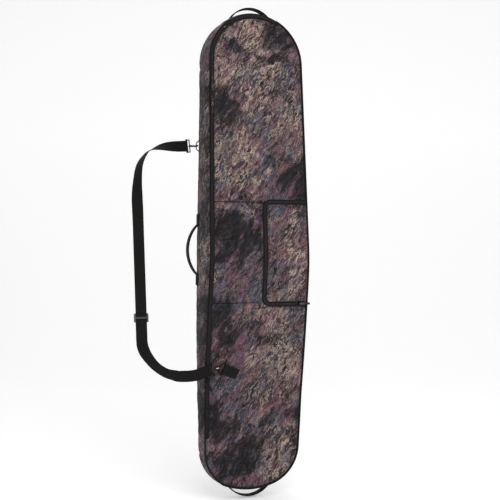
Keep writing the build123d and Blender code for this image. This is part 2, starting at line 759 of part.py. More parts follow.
def stadium(x0, x1, r):
    """A slot shape from two arc centres."""
    with Locations(((x0 + x1) / 2, 0)):
        SlotCenterToCenter(x1 - x0, 2 * r)


def hook(plane):
    """Snap hook: a flat ring with a gate opening, ears for the gate and a swivel pin with a head."""
    with BuildPart() as body:
        with BuildSketch(plane.offset(-HOOK_T / 2)):
            stadium(CROWN_X, HEEL_X, JAW + HOOK_W)
        extrude(amount=HOOK_T)
        with BuildSketch(plane.offset(-HOOK_T)):
            stadium(CROWN_X, HEEL_X, JAW)
        extrude(amount=2 * HOOK_T, mode=Mode.SUBTRACT)
        with BuildSketch(plane.offset(-HOOK_T)):
            with Locations((6.3, -JAW - 2.6)):
                Rectangle(7.4, 5.6)
        extrude(amount=2 * HOOK_T, mode=Mode.SUBTRACT)
        with BuildSketch(plane.offset(-1.2)):
            with Locations((12.0, -JAW - 1.2)):
                Rectangle(8.2, 7.6)
        extrude(amount=2.4, mode=Mode.SUBTRACT)
        with BuildSketch(Plane(origin=plane.origin + plane.x_dir * 18.0, z_dir=plane.x_dir)):
            Circle(1.9)
        extrude(amount=9.2)
        with BuildSketch(Plane(origin=plane.origin + plane.x_dir * 25.8, z_dir=plane.x_dir)):
            Circle(3.0)
        extrude(amount=1.4)
        with BuildSketch(plane.offset(-HOOK_T)):
            with Locations((12.0, -JAW - 1.7)):
                Circle(0.95)
        extrude(amount=2 * HOOK_T, mode=Mode.SUBTRACT)
    return body.part


def gate(plane):
    """The hook's sprung gate, with its eye round the pin."""
    with BuildPart() as body:
        with BuildSketch(plane.offset(-1.0)):
            with Locations((12.0, -JAW - 1.7)):
                Circle(2.1)
            with Locations((7.5, -JAW - 1.7)):
                Rectangle(9.4, 2.8)
            with Locations((12.0, -JAW - 1.7)):
                Circle(0.95, mode=Mode.SUBTRACT)
        extrude(amount=2.0)
    return body.part


def gate_pin(plane):
    """Pin through the hook's ears and the gate."""
    with BuildPart() as body:
        with BuildSketch(plane.offset(-HOOK_T / 2)):
            with Locations((12.0, -JAW - 1.7)):
                Circle(0.9)
        extrude(amount=HOOK_T)
    return body.part


def strap_frame(plane):
    """The swivel's frame: boss, side arms and the round bar the webbing loops over."""
    with BuildPart() as body:
        with BuildSketch(plane.offset(-23.0)):
            with Locations((27.8, 0)):
                Rectangle(10.0, 4.4)
        extrude(amount=46.0)
        with BuildSketch(plane.offset(-20.0)):
            with Locations((29.9, 0)):
                Rectangle(9.0, 8.0)
        extrude(amount=40.0, mode=Mode.SUBTRACT)
        with BuildSketch(Plane(origin=plane.origin + plane.x_dir * 19.4, z_dir=plane.x_dir)):
            Circle(4.1)
        extrude(amount=6.0)
        with BuildSketch(plane.offset(-23.0)):
            with Locations((BAR_X, 0)):
                Circle(2.1)
        extrude(amount=46.0)
        for z in (-24.0, 20.6):
            with BuildSketch(plane.offset(z)):
                with Locations((BAR_X - 0.6, 0)):
                    Circle(3.3)
            extrude(amount=3.4)
        with BuildSketch(Plane(origin=plane.origin + plane.x_dir * 19.0, z_dir=plane.x_dir)):
            Circle(1.96)
        extrude(amount=7.0, mode=Mode.SUBTRACT)
    return body.part


with BuildPart() as hook_upper:
    add(hook(hook_up))
hook_upper.part.label = "hook_upper"
export_step(hook_upper.part, "parts/hook_upper.step")
with BuildPart() as hook_lower:
    add(hook(hook_low))
hook_lower.part.label = "hook_lower"
export_step(hook_lower.part, "parts/hook_lower.step")
with BuildPart() as gate_upper:
    add(gate(hook_up))
gate_upper.part.label = "gate_upper"
export_step(gate_upper.part, "parts/gate_upper.step")
with BuildPart() as gate_lower:
    add(gate(hook_low))
gate_lower.part.label = "gate_lower"
export_step(gate_lower.part, "parts/gate_lower.step")
with BuildPart() as gate_pin_upper:
    add(gate_pin(hook_up))
gate_pin_upper.part.label = "gate_pin_upper"
export_step(gate_pin_upper.part, "parts/gate_pin_upper.step")
with BuildPart() as gate_pin_lower:
    add(gate_pin(hook_low))
gate_pin_lower.part.label = "gate_pin_lower"
export_step(gate_pin_lower.part, "parts/gate_pin_lower.step")
with BuildPart() as frame_upper:
    add(strap_frame(hook_up))
frame_upper.part.label = "frame_upper"
export_step(frame_upper.part, "parts/frame_upper.step")
with BuildPart() as frame_lower:
    add(strap_frame(hook_low))
frame_lower.part.label = "frame_lower"
export_step(frame_lower.part, "parts/frame_lower.step")

# the strap's own plane: x away from the bag, y up along the line between the two D-rings
strap_plane = Plane(origin=lower_pin, x_dir=e1, z_dir=e1.cross(u))
LOOP_IN = 2.4
LOOP_OUT = 4.4
low_end = (BAR_X * math.cos(TILT_LOW), -BAR_X * math.sin(TILT_LOW))
RUN = ((223.0, 690.0), (262.0, 75.0))        # the long straight run: (out, up)


def strap_path():
    """The strap's centre line in its own plane, from past one slot bar to the other."""
    k = 3.6
    return [
        (BAR_X + k, strap_length),
        (176.0, strap_length),
        RUN[0],
        RUN[1],
        (165.0, -20.0),
        (92.0, low_end[1] - (92.0 - low_end[0]) * math.tan(TILT_LOW)),
        (low_end[0] + k * math.cos(TILT_LOW), low_end[1] - k * math.sin(TILT_LOW)),
    ]


def ribbon(points, width, n0, n1, radius=50.0):
    """Flat webbing along a path in the strap's plane, between two distances in front of that plane."""
    sign = 1.0 if strap_plane.z_dir.dot(facing) > 0 else -1.0
    with BuildPart() as body:
        with BuildLine(strap_plane.offset(sign * (n0 + n1) / 2)) as rail:
            FilletPolyline(*points, radius=radius)
        with BuildSketch(Plane(origin=rail.line @ 0, x_dir=strap_plane.z_dir, z_dir=rail.line % 0)):
            Rectangle(n1 - n0, width)
        sweep(path=rail.line)
    return body.part


def web_loop(plane):
    """The end of the webbing, looped round a slot bar."""
    with BuildPart() as body:
        with BuildSketch(plane.offset(-WEB_W / 2)):
            with Locations((BAR_X, 0)):
                Circle(LOOP_OUT)
                Circle(LOOP_IN, mode=Mode.SUBTRACT)
        extrude(amount=WEB_W)
    return body.part


main_path = strap_path()
with BuildPart() as strap_main:
    add(ribbon(main_path, WEB_W, 0.3, 0.3 + WEB_T))
    add(web_loop(hook_up))
    add(web_loop(hook_low))
strap_main.part.label = "strap_main"
export_step(strap_main.part, "parts/strap_main.step")

run_len = math.hypot(RUN[1][0] - RUN[0][0], RUN[1][1] - RUN[0][1])
run_dir = ((RUN[1][0] - RUN[0][0]) / run_len, (RUN[1][1] - RUN[0][1]) / run_len)
ADJUST_Z = 193.0
adjust_at = (RUN[1][0] + (RUN[0][0] - RUN[1][0]) * (ADJUST_Z - RUN[1][1]) / (RUN[0][1] - RUN[1][1]), ADJUST_Z)
return_path = [adjust_at] + main_path[3:6] + [
    (main_path[6][0] + 2.6 * math.cos(TILT_LOW), main_path[6][1] - 2.6 * math.sin(TILT_LOW))
]
with BuildPart() as strap_return:
    add(ribbon(return_path, WEB_W, -0.3 - WEB_T, -0.3))
strap_return.part.label = "strap_return"
export_step(strap_return.part, "parts/strap_return.step")

along_run = unit(e1 * run_dir[0] + u * run_dir[1])
adjust_plane = Plane(
    origin=lower_pin + e1 * adjust_at[0] + u * adjust_at[1], x_dir=unit(facing.cross(along_run)), z_dir=facing
)
with BuildPart() as adjuster:
    with BuildSketch(adjust_plane.offset(-5.2)):
        RectangleRounded(48, 30, 4)
    extrude(amount=10.4)
    with BuildSketch(adjust_plane.offset(-3.0)):
        Rectangle(39.2, 40)
    extrude(amount=6.0, mode=Mode.SUBTRACT)
    with BuildSketch(adjust_plane.offset(2.9)):
        with Locations((0, 10.2), (0, -10.2)):
            Rectangle(39.2, 14.4)
    extrude(amount=5.0, mode=Mode.SUBTRACT)
    with BuildSketch(adjust_plane.offset(-6.0)):
        Rectangle(39.2, 18)
    extrude(amount=3.1, mode=Mode.SUBTRACT)
adjuster.part.label = "adjuster"
export_step(adjuster.part, "parts/adjuster.step")
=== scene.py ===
"""Looks of the padded snowboard bag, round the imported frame. Metres, +Z up, the zipped front faces -Y."""
import math

import bpy
import numpy as np
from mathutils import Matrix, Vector, noise
from mathutils.bvhtree import BVHTree


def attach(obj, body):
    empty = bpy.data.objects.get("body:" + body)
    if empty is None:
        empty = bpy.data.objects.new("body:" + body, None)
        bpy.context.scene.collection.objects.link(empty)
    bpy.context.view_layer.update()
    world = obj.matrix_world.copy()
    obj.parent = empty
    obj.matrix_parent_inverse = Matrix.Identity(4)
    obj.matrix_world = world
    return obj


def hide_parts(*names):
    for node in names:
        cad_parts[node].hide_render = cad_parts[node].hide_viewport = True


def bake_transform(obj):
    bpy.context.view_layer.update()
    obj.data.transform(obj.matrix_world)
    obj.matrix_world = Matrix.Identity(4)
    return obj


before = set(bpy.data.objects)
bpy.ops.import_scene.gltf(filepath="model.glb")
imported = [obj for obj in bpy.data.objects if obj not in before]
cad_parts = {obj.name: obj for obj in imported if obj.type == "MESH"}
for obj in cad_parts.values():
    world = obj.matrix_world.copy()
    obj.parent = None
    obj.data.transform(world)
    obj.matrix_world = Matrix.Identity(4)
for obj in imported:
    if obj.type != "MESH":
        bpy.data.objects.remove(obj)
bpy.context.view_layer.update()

MM = 0.001

# ---- the bag's outline and its layers, as the CAD model has them -----------------------------------
HALF_LENGTH = 830 * MM
SIDE_X = 182.5 * MM            # half width where the straight upper sides end
SIDE_Z = 40 * MM               # height where they end
SIDE_SLOPE = 0.0170
FLANK_R = 14000 * MM
CORNER_R = 140 * MM
TAIL_R = 260 * MM
BACK_Y = -1.6 * MM
BACK_ROUND = 10 * MM
STATIONS = ((-860, 63.5), (-500, 87.0), (-31, 153.0), (860, 98.3))   # height and depth of the front, in mm
FRONT_ROUND = 600 * MM         # bend radius of the front at those heights
SEAM_UP = 172 * MM
SEAM_LOW = -173 * MM
SEAM_DROP = 16 * MM            # how much lower that seam runs under the pocket
ZIP_END_Z = -621 * MM
ZIP_END_X = 78 * MM
ZIP_BAND = 17.4 * MM
WELT = 5.4 * MM                # width of the piping's flange
POCKET_LEFT = 11 * MM
POCKET_RIGHT = 174 * MM
POCKET_TOP = 183 * MM
POCKET_LOW = -187 * MM
POCKET_CORNER = 32 * MM
TAB_SEAT = (-96 * MM, -408 * MM)   # middle of the lower D-ring's tab on the front

# ---- sizes of the cloth sheets -----------------------------------------------------------------
CELL = 6 * MM                  # grid of the cloth sheets before they are subdivided
BAG_BOX = ((-0.19, -0.84), (0.19, 0.84))       # x and height between which a sheet's grid is laid
POCKET_BOX = ((0.0, -0.2), (0.19, 0.2))
PANEL_T = 3.8 * MM
PUFF = 3.2 * MM                # how far padding lifts a panel off its seams
DIP = 2.2 * MM                 # how deep a seam lies
SEAM_GAP = 0.9 * MM            # half the dark groove between two panels
STITCH = 4.6 * MM


# ---- outline -----------------------------------------------------------------------------------
def half_outline():
    """Right half of the outline from crown to foot: arc length, x, z and the outward normal's angle."""
    lean = math.atan(SIDE_SLOPE)
    n = np.array((math.cos(lean), math.sin(lean)))
    reach = SIDE_X * n[0] + SIDE_Z * n[1]
    top_r = (reach - HALF_LENGTH * n[1]) / (1 - n[1])
    top = np.array((0, HALF_LENGTH - top_r))
    side = np.array((SIDE_X, SIDE_Z))
    flank = side - FLANK_R * n
    tail = np.array((0, TAIL_R - HALF_LENGTH))
    gap = np.linalg.norm(tail - flank)
    r1 = FLANK_R - CORNER_R
    r2 = TAIL_R - CORNER_R
    a = (r1**2 - r2**2 + gap**2) / (2 * gap)
    h = math.sqrt(r1**2 - a**2)
    w = (tail - flank) / gap
    corner = flank + a * w + h * np.array((w[1], -w[0]))
    low = math.atan2(*(corner - flank)[::-1])
    turn = math.atan2(*(corner - tail)[::-1])

    def arc(centre, radius, start, stop):
        angle = np.linspace(start, stop, max(4, int(abs(stop - start) * radius / MM)))
        return np.stack([centre[0] + radius * np.cos(angle), centre[1] + radius * np.sin(angle), angle], 1)

    straight = np.linspace(top + top_r * n, side, 600)
    rows = np.concatenate([
        arc(top, top_r, math.pi / 2, lean),
        np.column_stack([straight, np.full(600, lean)]),
        arc(flank, FLANK_R, lean, low),
        arc(corner, CORNER_R, low, turn),
        arc(tail, TAIL_R, turn, -math.pi / 2),
    ])
    step = np.hypot(*np.diff(rows[:, :2], axis=0).T)
    return np.concatenate([[0], np.cumsum(step)]), rows[:, 0], rows[:, 1], rows[:, 2]


LENGTH, EDGE_X, EDGE_Z, EDGE_ANGLE = half_outline()
HALF_GIRTH = LENGTH[-1]


def edge(s):
    """Points and outward normals at signed arc lengths from the crown: positive to the right, and on past
    the foot."""
    s = np.asarray(s, float)
    s = np.where(s > HALF_GIRTH, s - 2 * HALF_GIRTH, s)
    side = np.where(s < 0, -1.0, 1.0)
    angle = np.interp(abs(s), LENGTH, EDGE_ANGLE)
    point = np.stack([side * np.interp(abs(s), LENGTH, EDGE_X), np.interp(abs(s), LENGTH, EDGE_Z)], -1)
    return point, np.stack([side * np.cos(angle), np.sin(angle)], -1)


AROUND = np.linspace(-HALF_GIRTH, HALF_GIRTH, 1900)
AROUND_AT, AROUND_OUT = edge(AROUND)


def from_edge(p):
    """Distance outside the outline, negative inside, and the arc length of the nearest edge point."""
    out = np.empty(len(p))
    s = np.empty(len(p))
    for i in range(0, len(p), 4000):
        q = p[i:i + 4000]
        near = ((q[:, None, :] - AROUND_AT[None]) ** 2).sum(-1).argmin(1)
        out[i:i + 4000] = ((q - AROUND_AT[near]) * AROUND_OUT[near]).sum(-1)
        s[i:i + 4000] = AROUND[near]
    return out, s


def arc_at(z=None, x=None):
    """Arc length of the outline's right half at a height, or of its top at a distance across."""
    if x is None:
        return float(np.interp(-z, -EDGE_Z, LENGTH))
    return float(np.interp(x, EDGE_X[:260], LENGTH[:260]))


ZIP_LOW = -arc_at(z=ZIP_END_Z)
ZIP_HIGH = arc_at(x=ZIP_END_X)


def smooth(t):
    """0 to 1 with soft ends."""
    t = np.clip(t, 0, 1)
    return t * t * (3 - 2 * t)


def depth(z):
    """Depth of the bag at a height."""
    z = np.asarray(z, float)
    heights = np.array([h for h, _ in STATIONS]) * MM
    depths = np.array([d for _, d in STATIONS]) * MM
    value = np.interp(z, heights, depths)
    slopes = np.diff(depths) / np.diff(heights)
    for i in (1, 2):
        turn = slopes[i - 1] - slopes[i]
        reach = FRONT_ROUND * abs(turn) / 2
        value = value - turn / (4 * reach) * np.clip(reach - abs(z - heights[i]), 0, None) ** 2
    return value


def on_front(s, t, a):
    """Points moved in by t from the edge and a in front of the front face."""
    point, out = edge(s)
    x = point[..., 0] - t * out[..., 0]
    z = point[..., 1] - t * out[..., 1]
    return np.stack([x, -(depth(z) + a), z], -1)


def pocket_edge(s):
    """The pocket zip's line, from its lower right end round the left to its upper right end."""
    r = POCKET_CORNER
    run = POCKET_RIGHT - POCKET_LEFT - r
    rise = POCKET_TOP - POCKET_LOW - 2 * r
    bend = r * math.pi / 2
    s = np.asarray(s, float)
    stretch = [s < run, s < run + bend, s < run + bend + rise, s < run + 2 * bend + rise]
    low = (s - run) / r
    high = (s - run - bend - rise) / r
    centre_x = POCKET_LEFT + r
    x_low = centre_x - r * np.sin(low)
    x_high = centre_x - r * np.cos(high)
    x_end = centre_x + r * (high - math.pi / 2)
    x = np.select(stretch, [POCKET_RIGHT - s, x_low, POCKET_LEFT + 0 * s, x_high], x_end)
    z_low = POCKET_LOW + r - r * np.cos(low)
    z_high = POCKET_TOP - r + r * np.sin(high)
    z = np.select(stretch, [POCKET_LOW + 0 * s, z_low, POCKET_LOW + r + s - run - bend, z_high], POCKET_TOP)
    nx = np.select(stretch, [0 * s, -np.sin(low), -1 + 0 * s, -np.cos(high)], 0.0)
    nz = np.select(stretch, [-1 + 0 * s, -np.cos(low), 0 * s, np.sin(high)], 1.0)
    return x, z, nx, nz


POCKET_RUN = 2 * (POCKET_RIGHT - POCKET_LEFT - POCKET_CORNER) + POCKET_CORNER * math.pi
POCKET_RUN += POCKET_TOP - POCKET_LOW - 2 * POCKET_CORNER


def on_pocket(s, t, a):
    """Points moved in by t from the pocket's outline and a in front of the front face."""
    x, z, nx, nz = pocket_edge(s)
    x = x - t * nx
    z = z - t * nz
    return np.stack([x, -(depth(z) + a), z], -1)


def pocket_inside(p, t):
    """Signed distance to the pocket's outline moved in by t, negative inside."""
    r = POCKET_CORNER - t
    centre_z = (POCKET_TOP + POCKET_LOW) / 2
    half = (POCKET_TOP - POCKET_LOW) / 2 - t
    qx = np.maximum(POCKET_LEFT + t + r - p[:, 0], 0)
    qz = np.maximum(abs(p[:, 1] - centre_z) - half + r, 0)
    corner = np.hypot(qx, qz) - r
    flat = np.maximum(POCKET_LEFT + t - p[:, 0], abs(p[:, 1] - centre_z) - half)
    return np.where((qx > 0) & (qz > 0), corner, flat)


# ---- mesh helpers ------------------------------------------------------------------------------
def make(name, verts, faces, material, weave=None):
    """A smooth mesh object with its rest place, and its weave directions, kept for the materials."""
    mesh = bpy.data.meshes.new(name)
    mesh.from_pydata(np.asarray(verts).tolist(), [], [list(map(int, f)) for f in faces])
    mesh.polygons.foreach_set("use_smooth", [True] * len(mesh.polygons))
    mesh.materials.append(material)
    obj = bpy.data.objects.new(name, mesh)
    bpy.context.scene.collection.objects.link(obj)
    store(obj, "weave", weave if weave is not None else verts)
    return obj


def stand_in(obj, *nodes, body="shell"):
    """The piece stands for these nodes and moves with a body."""
    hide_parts(*nodes)
    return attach(obj, body)


def coords(mesh):
    """A mesh's points as an array."""
    flat = np.empty(len(mesh.vertices) * 3)
    mesh.vertices.foreach_get("co", flat)
    return flat.reshape(-1, 3)


def store(obj, name, values):
    """A vector for each point, for a material to read."""
    attribute = obj.data.attributes.get(name) or obj.data.attributes.new(name, "FLOAT_VECTOR", "POINT")
    attribute.data.foreach_set("vector", np.asarray(values, np.float32).ravel())


def bake(obj):
    """Apply the object's modifiers."""
    evaluated = obj.evaluated_get(bpy.context.evaluated_depsgraph_get())
    mesh = bpy.data.meshes.new_from_object(evaluated)
    obj.modifiers.clear()
    obj.data = mesh
    return obj


def lattice(rings, cap=True):
    """Faces round a row of closed rings, each an equal number of points."""
    n, k = rings.shape[:2]
    i, j = np.meshgrid(np.arange(n - 1), np.arange(k), indexing="ij")
    nxt = (j + 1) % k
    quads = np.stack([i * k + j, i * k + nxt, (i + 1) * k + nxt, (i + 1) * k + j], -1).reshape(-1, 4).tolist()
    if cap:
        quads.append(list(range(k))[::-1])
        quads.append([(n - 1) * k + m for m in range(k)])
    return rings.reshape(-1, 3), quads


def swept(name, path, s, profile, material):
    """A section given as (t, a) points, carried along one of the bag's edge lines."""
    rings = np.stack([path(s, t * MM, a * MM) for t, a in profile], 1)
    verts, faces = lattice(rings)
    across = np.tile([t * MM for t, _ in profile], len(s))
    weave = np.stack([np.repeat(s, len(profile)), across, 0 * across], 1)
    return make(name, verts, faces, material, weave)


def unit(v):
    """A vector at length 1."""
    v = np.asarray(v, float)
    return v / np.linalg.norm(v)


def units(rows):
    """Each row at length 1."""
    return rows / np.linalg.norm(rows, axis=1)[:, None]


def square_to(way, rows):
    """Unit directions of rows without their part along way."""
    return units(rows - (rows * way).sum(1)[:, None] * way)


def tangents(line):
    """Unit directions along a line of points."""
    return units(np.gradient(line, axis=0))


def distance_along(line):
    """Distance of each point along a line, from its start."""
    return np.concatenate([[0], np.cumsum(np.linalg.norm(np.diff(line, axis=0), axis=1))])


def sheet_faces(n, k):
    """Quads of a grid of n rows of k points."""
    i, j = np.meshgrid(np.arange(n - 1), np.arange(k - 1), indexing="ij")
    return np.stack([i * k + j, i * k + j + 1, (i + 1) * k + j + 1, (i + 1) * k + j], -1).reshape(-1, 4)


STRIP_SECTION = (              # webbing's section, as shares of its width and thickness
    (-0.5, -0.2), (-0.47, -0.5), (-0.25, -0.5), (0, -0.5), (0.25, -0.5), (0.47, -0.5), (0.5, -0.2),
    (0.5, 0.2), (0.47, 0.5), (0.25, 0.5), (0, 0.5), (-0.25, 0.5), (-0.47, 0.5), (-0.5, 0.2),
)


def strip(name, line, across, width, thick, material, offset=0.0):
    """Flat webbing along a line: across is the direction of its width at each point."""
    way = tangents(line)
    across = square_to(way, across)
    face = np.cross(way, across)
    width = np.broadcast_to(width, len(line))[:, None]
    rings = np.stack([line + face * (offset + n * thick) + across * v * width for v, n in STRIP_SECTION], 1)
    verts, faces = lattice(rings)
    run = distance_along(line)
    k = len(STRIP_SECTION)
    v = (np.array([v for v, _ in STRIP_SECTION])[None] * width).ravel()
    weave = np.stack([np.repeat(run, k), v, 0 * v], 1)
    return make(name, verts, faces, material, weave)


def tube(line, reference, radius, sides):
    """Verts and faces of a round wire; reference is roughly square to the line at each point."""
    way = tangents(line)
    first = square_to(way, reference)
    second = np.cross(way, first)
    angle = np.arange(sides) * 2 * math.pi / sides
    rings = np.stack([line + radius * (math.cos(q) * first + math.sin(q) * second) for q in angle], 1)
    return lattice(rings)


def curve_through(points, count):
    """A smooth line through a few points (Catmull-Rom), at equal steps."""
    p = np.asarray(points, float)
    p = np.concatenate([[2 * p[0] - p[1]], p, [2 * p[-1] - p[-2]]])
    parts = []
    for i in range(1, len(p) - 2):
        u = np.linspace(0, 1, 40, endpoint=False)[:, None]
        a, b, c, d = p[i - 1:i + 3]
        square = (2 * a - 5 * b + 4 * c - d) * u**2
        cube = (3 * b - a - 3 * c + d) * u**3
        parts.append(0.5 * (2 * b + (c - a) * u + square + cube))
    dense = np.concatenate(parts + [p[-2][None]])
    run = distance_along(dense)
    at = np.linspace(0, run[-1], count)
    return np.stack([np.interp(at, run, dense[:, i]) for i in range(p.shape[1])], 1)


def snapped_grid(outside, low, high, cell):
    """Quads that fill the region where outside() is negative, with their rim on its edge."""
    nx = int((high[0] - low[0]) / cell) + 2
    nz = int((high[1] - low[1]) / cell) + 2
    x, z = np.meshgrid(low[0] + cell * np.arange(nx), low[1] + cell * np.arange(nz), indexing="ij")
    flat = np.stack([x.ravel(), z.ravel()], 1)
    ok = (outside(flat) < 0.45 * cell).reshape(nx, nz)
    i, j = np.nonzero(ok[:-1, :-1] & ok[1:, :-1] & ok[:-1, 1:] & ok[1:, 1:])
    quads = np.stack([i * nz + j, (i + 1) * nz + j, (i + 1) * nz + j + 1, i * nz + j + 1], 1)
    used, quads = np.unique(quads, return_inverse=True)
    quads = quads.reshape(-1, 4)
    p = flat[used]
    pairs = np.concatenate([quads[:, side] for side in ([0, 1], [1, 2], [2, 3], [3, 0])])
    pairs = np.sort(pairs, 1)
    pairs, count = np.unique(pairs, axis=0, return_counts=True)
    rim = np.zeros(len(p), bool)
    rim[pairs[count == 1].ravel()] = True
    h = 0.2 * MM
    for _ in range(4):
        d = outside(p[rim])
        slope = np.stack([outside(p[rim] + (h, 0)) - d, outside(p[rim] + (0, h)) - d], 1) / h
        p[rim] -= d[:, None] * slope / np.maximum((slope**2).sum(1), 0.3)[:, None]
    for _ in range(8):
        total = np.zeros_like(p)
        number = np.zeros(len(p))
        for a, b in ((0, 1), (1, 0)):
            np.add.at(total, pairs[:, a], p[pairs[:, b]])
            np.add.at(number, pairs[:, a], 1)
        p[~rim] = 0.5 * p[~rim] + 0.5 * (total / number[:, None])[~rim]
    return p, quads, rim


# ---- cloth sheets ------------------------------------------------------------------------------
def drape(obj, pinned, pressure, slack, cap, allow):
    """Run a cloth simulation under pressure, pinned at the seams, and take over its movement up to cap."""
    group = obj.vertex_groups.new(name="seams")
    group.add([int(i) for i in np.nonzero(pinned)[0]], 1.0, "REPLACE")
    cloth = obj.modifiers.new("cloth", "CLOTH")
    settings = cloth.settings
    settings.quality = 5
    settings.mass = 0.2
    settings.tension_stiffness = 20
    settings.compression_stiffness = 20
    settings.shear_stiffness = 8
    settings.bending_stiffness = 0.6
    settings.effector_weights.gravity = 0
    settings.use_pressure = True
    settings.uniform_pressure_force = pressure
    settings.shrink_min = -slack
    settings.vertex_group_mass = "seams"
    cloth.point_cache.frame_start = 1
    cloth.point_cache.frame_end = 20
    rest = coords(obj.data)
    for number in range(1, 21):
        bpy.context.scene.frame_set(number)
    evaluated = obj.evaluated_get(bpy.context.evaluated_depsgraph_get())
    moved = coords(evaluated.data) - rest
    obj.modifiers.clear()
    obj.vertex_groups.clear()
    bpy.context.scene.frame_set(1)
    size = np.linalg.norm(moved, axis=1)[:, None]
    moved *= cap * np.tanh(size / cap) / np.maximum(size, 1e-9)
    obj.data.vertices.foreach_set("co", (rest + moved * allow[:, None]).ravel())
    obj.data.update()


SEATS = (                      # where something is sewn on, so the cloth lies flat: centre and half sizes
    ((TAB_SEAT[0], -0.100, TAB_SEAT[1]), (0.048, 0.08, 0.040)),
    ((-0.085, -0.049, 0.815), (0.034, 0.022, 0.040)),
    ((0.085, -0.049, 0.815), (0.034, 0.022, 0.040)),
    ((-0.083, -0.034, -0.815), (0.034, 0.020, 0.040)),
    ((0.083, -0.034, -0.815), (0.034, 0.020, 0.040)),
    ((-0.184, -0.024, 0.110), (0.040, 0.020, 0.040)),
    ((-0.184, -0.024, -0.090), (0.040, 0.020, 0.040)),
    ((-0.150, 0.0, 0.373), (0.040, 0.020, 0.030)),
)


def loose(p):
    """1 where the cloth is free to lift, 0 where something is sewn on top of it."""
    free = np.ones(len(p))
    for centre, half in SEATS:
        free *= 1 - np.exp(-((((p - centre) / half) ** 2).sum(1)) ** 2)
    flat = p[:, [0, 2]]
    front = smooth((-p[:, 1] - depth(p[:, 2]) + 0.010) / 0.004)
    under_pocket = smooth(-(pocket_inside(flat, -2 * MM) - 9 * MM) / (9 * MM))
    return free * (1 - under_pocket * front)


def crumple(p, amount):
    """Fine diagonal creases and soft dents of a coated cloth, as an offset for each point."""
    h = p[:, 0] - 0.55 * p[:, 1]
    along = 0.545 * h + 0.839 * p[:, 2]
    across = 0.545 * p[:, 2] - 0.839 * h
    value = np.empty(len(p))
    for i in range(len(p)):
        fine = noise.fractal((along[i] * 22, across[i] * 75, p[i, 1] * 30), 0.9, 2.0, 4)
        soft = noise.noise((along[i] * 7, across[i] * 16, 3.7))
        value[i] = 0.5 * fine + 0.9 * soft
    return amount * value


def thicken(obj, thickness, offset=-1):
    """Give a sheet its thickness, inwards unless offset says otherwise."""
    solid = obj.modifiers.new("thickness", "SOLIDIFY")
    solid.thickness = thickness
    solid.offset = offset
    return bake(obj)


def finish_sheet(obj, out, thickness, amount, held=True):
    """Subdivide, crumple and thicken a sheet; out is the outward direction at a set of points. A held sheet
    crumples less where something is sewn on."""
    obj.modifiers.new("fine", "SUBSURF").levels = 1
    bake(obj)
    p = coords(obj.data)
    store(obj, "cloth_pos", p)
    share = 0.25 + 0.75 * loose(p) if held else 1.0
    lifted = p + out(p) * (crumple(p, amount) * share)[:, None]
    obj.data.vertices.foreach_set("co", lifted.ravel())
    obj.data.update()
    return thicken(obj, thickness)


def front_out(p):
    """Outward direction of the front face."""
    return np.tile((0.0, -1.0, 0.0), (len(p), 1))


def back_out(p):
    """Outward direction of the back face."""
    return np.tile((0.0, 1.0, 0.0), (len(p), 1))


def edge_out(p):
    """Outward direction of the gusset."""
    _, s = from_edge(p[:, [0, 2]])
    out = edge(s)[1]
    return np.stack([out[:, 0], 0 * out[:, 0], out[:, 1]], 1)


def seam_low(x):
    """Height of the lower cross seam: it steps down under the pocket."""
    return SEAM_LOW - SEAM_DROP * smooth((x + 2 * MM) / (8 * MM))


def band(s):
    """How far from the edge the front cloth starts: wide beside the zip, narrow beside the piping."""
    beside_zip = smooth((s - ZIP_LOW) / (8 * MM)) * smooth((ZIP_HIGH - s) / (8 * MM))
    return WELT + (ZIP_BAND - WELT) * beside_zip


def front_panel(name, low, high, node):
    """A padded front panel between two seam lines, given as functions of x. The simulation was seen to move
    only the upper panel: the padding of the other two is the lift worked out here."""
    def outside(p):
        d, s = from_edge(p)
        return np.maximum(np.maximum(d + band(s), low(p[:, 0]) - p[:, 1]), p[:, 1] - high(p[:, 0]))

    grid, quads, rim = snapped_grid(outside, *BAG_BOX, CELL)
    inner = -outside(grid)
    place = np.stack([grid[:, 0], -depth(grid[:, 1]), grid[:, 1]], 1)
    free = loose(place)
    lift = free * PUFF * (1 - np.exp(-inner / 0.030)) - (0.35 + 0.65 * free) * DIP * np.exp(-inner / 0.0035)
    place[:, 1] -= lift - 0.2 * MM
    obj = make(name, place, quads, PRINT)
    drape(obj, rim, 1.2, 0.012, 2.5 * MM, free)
    finish_sheet(obj, front_out, PANEL_T, 0.9 * MM)
    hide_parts(node)
    return obj


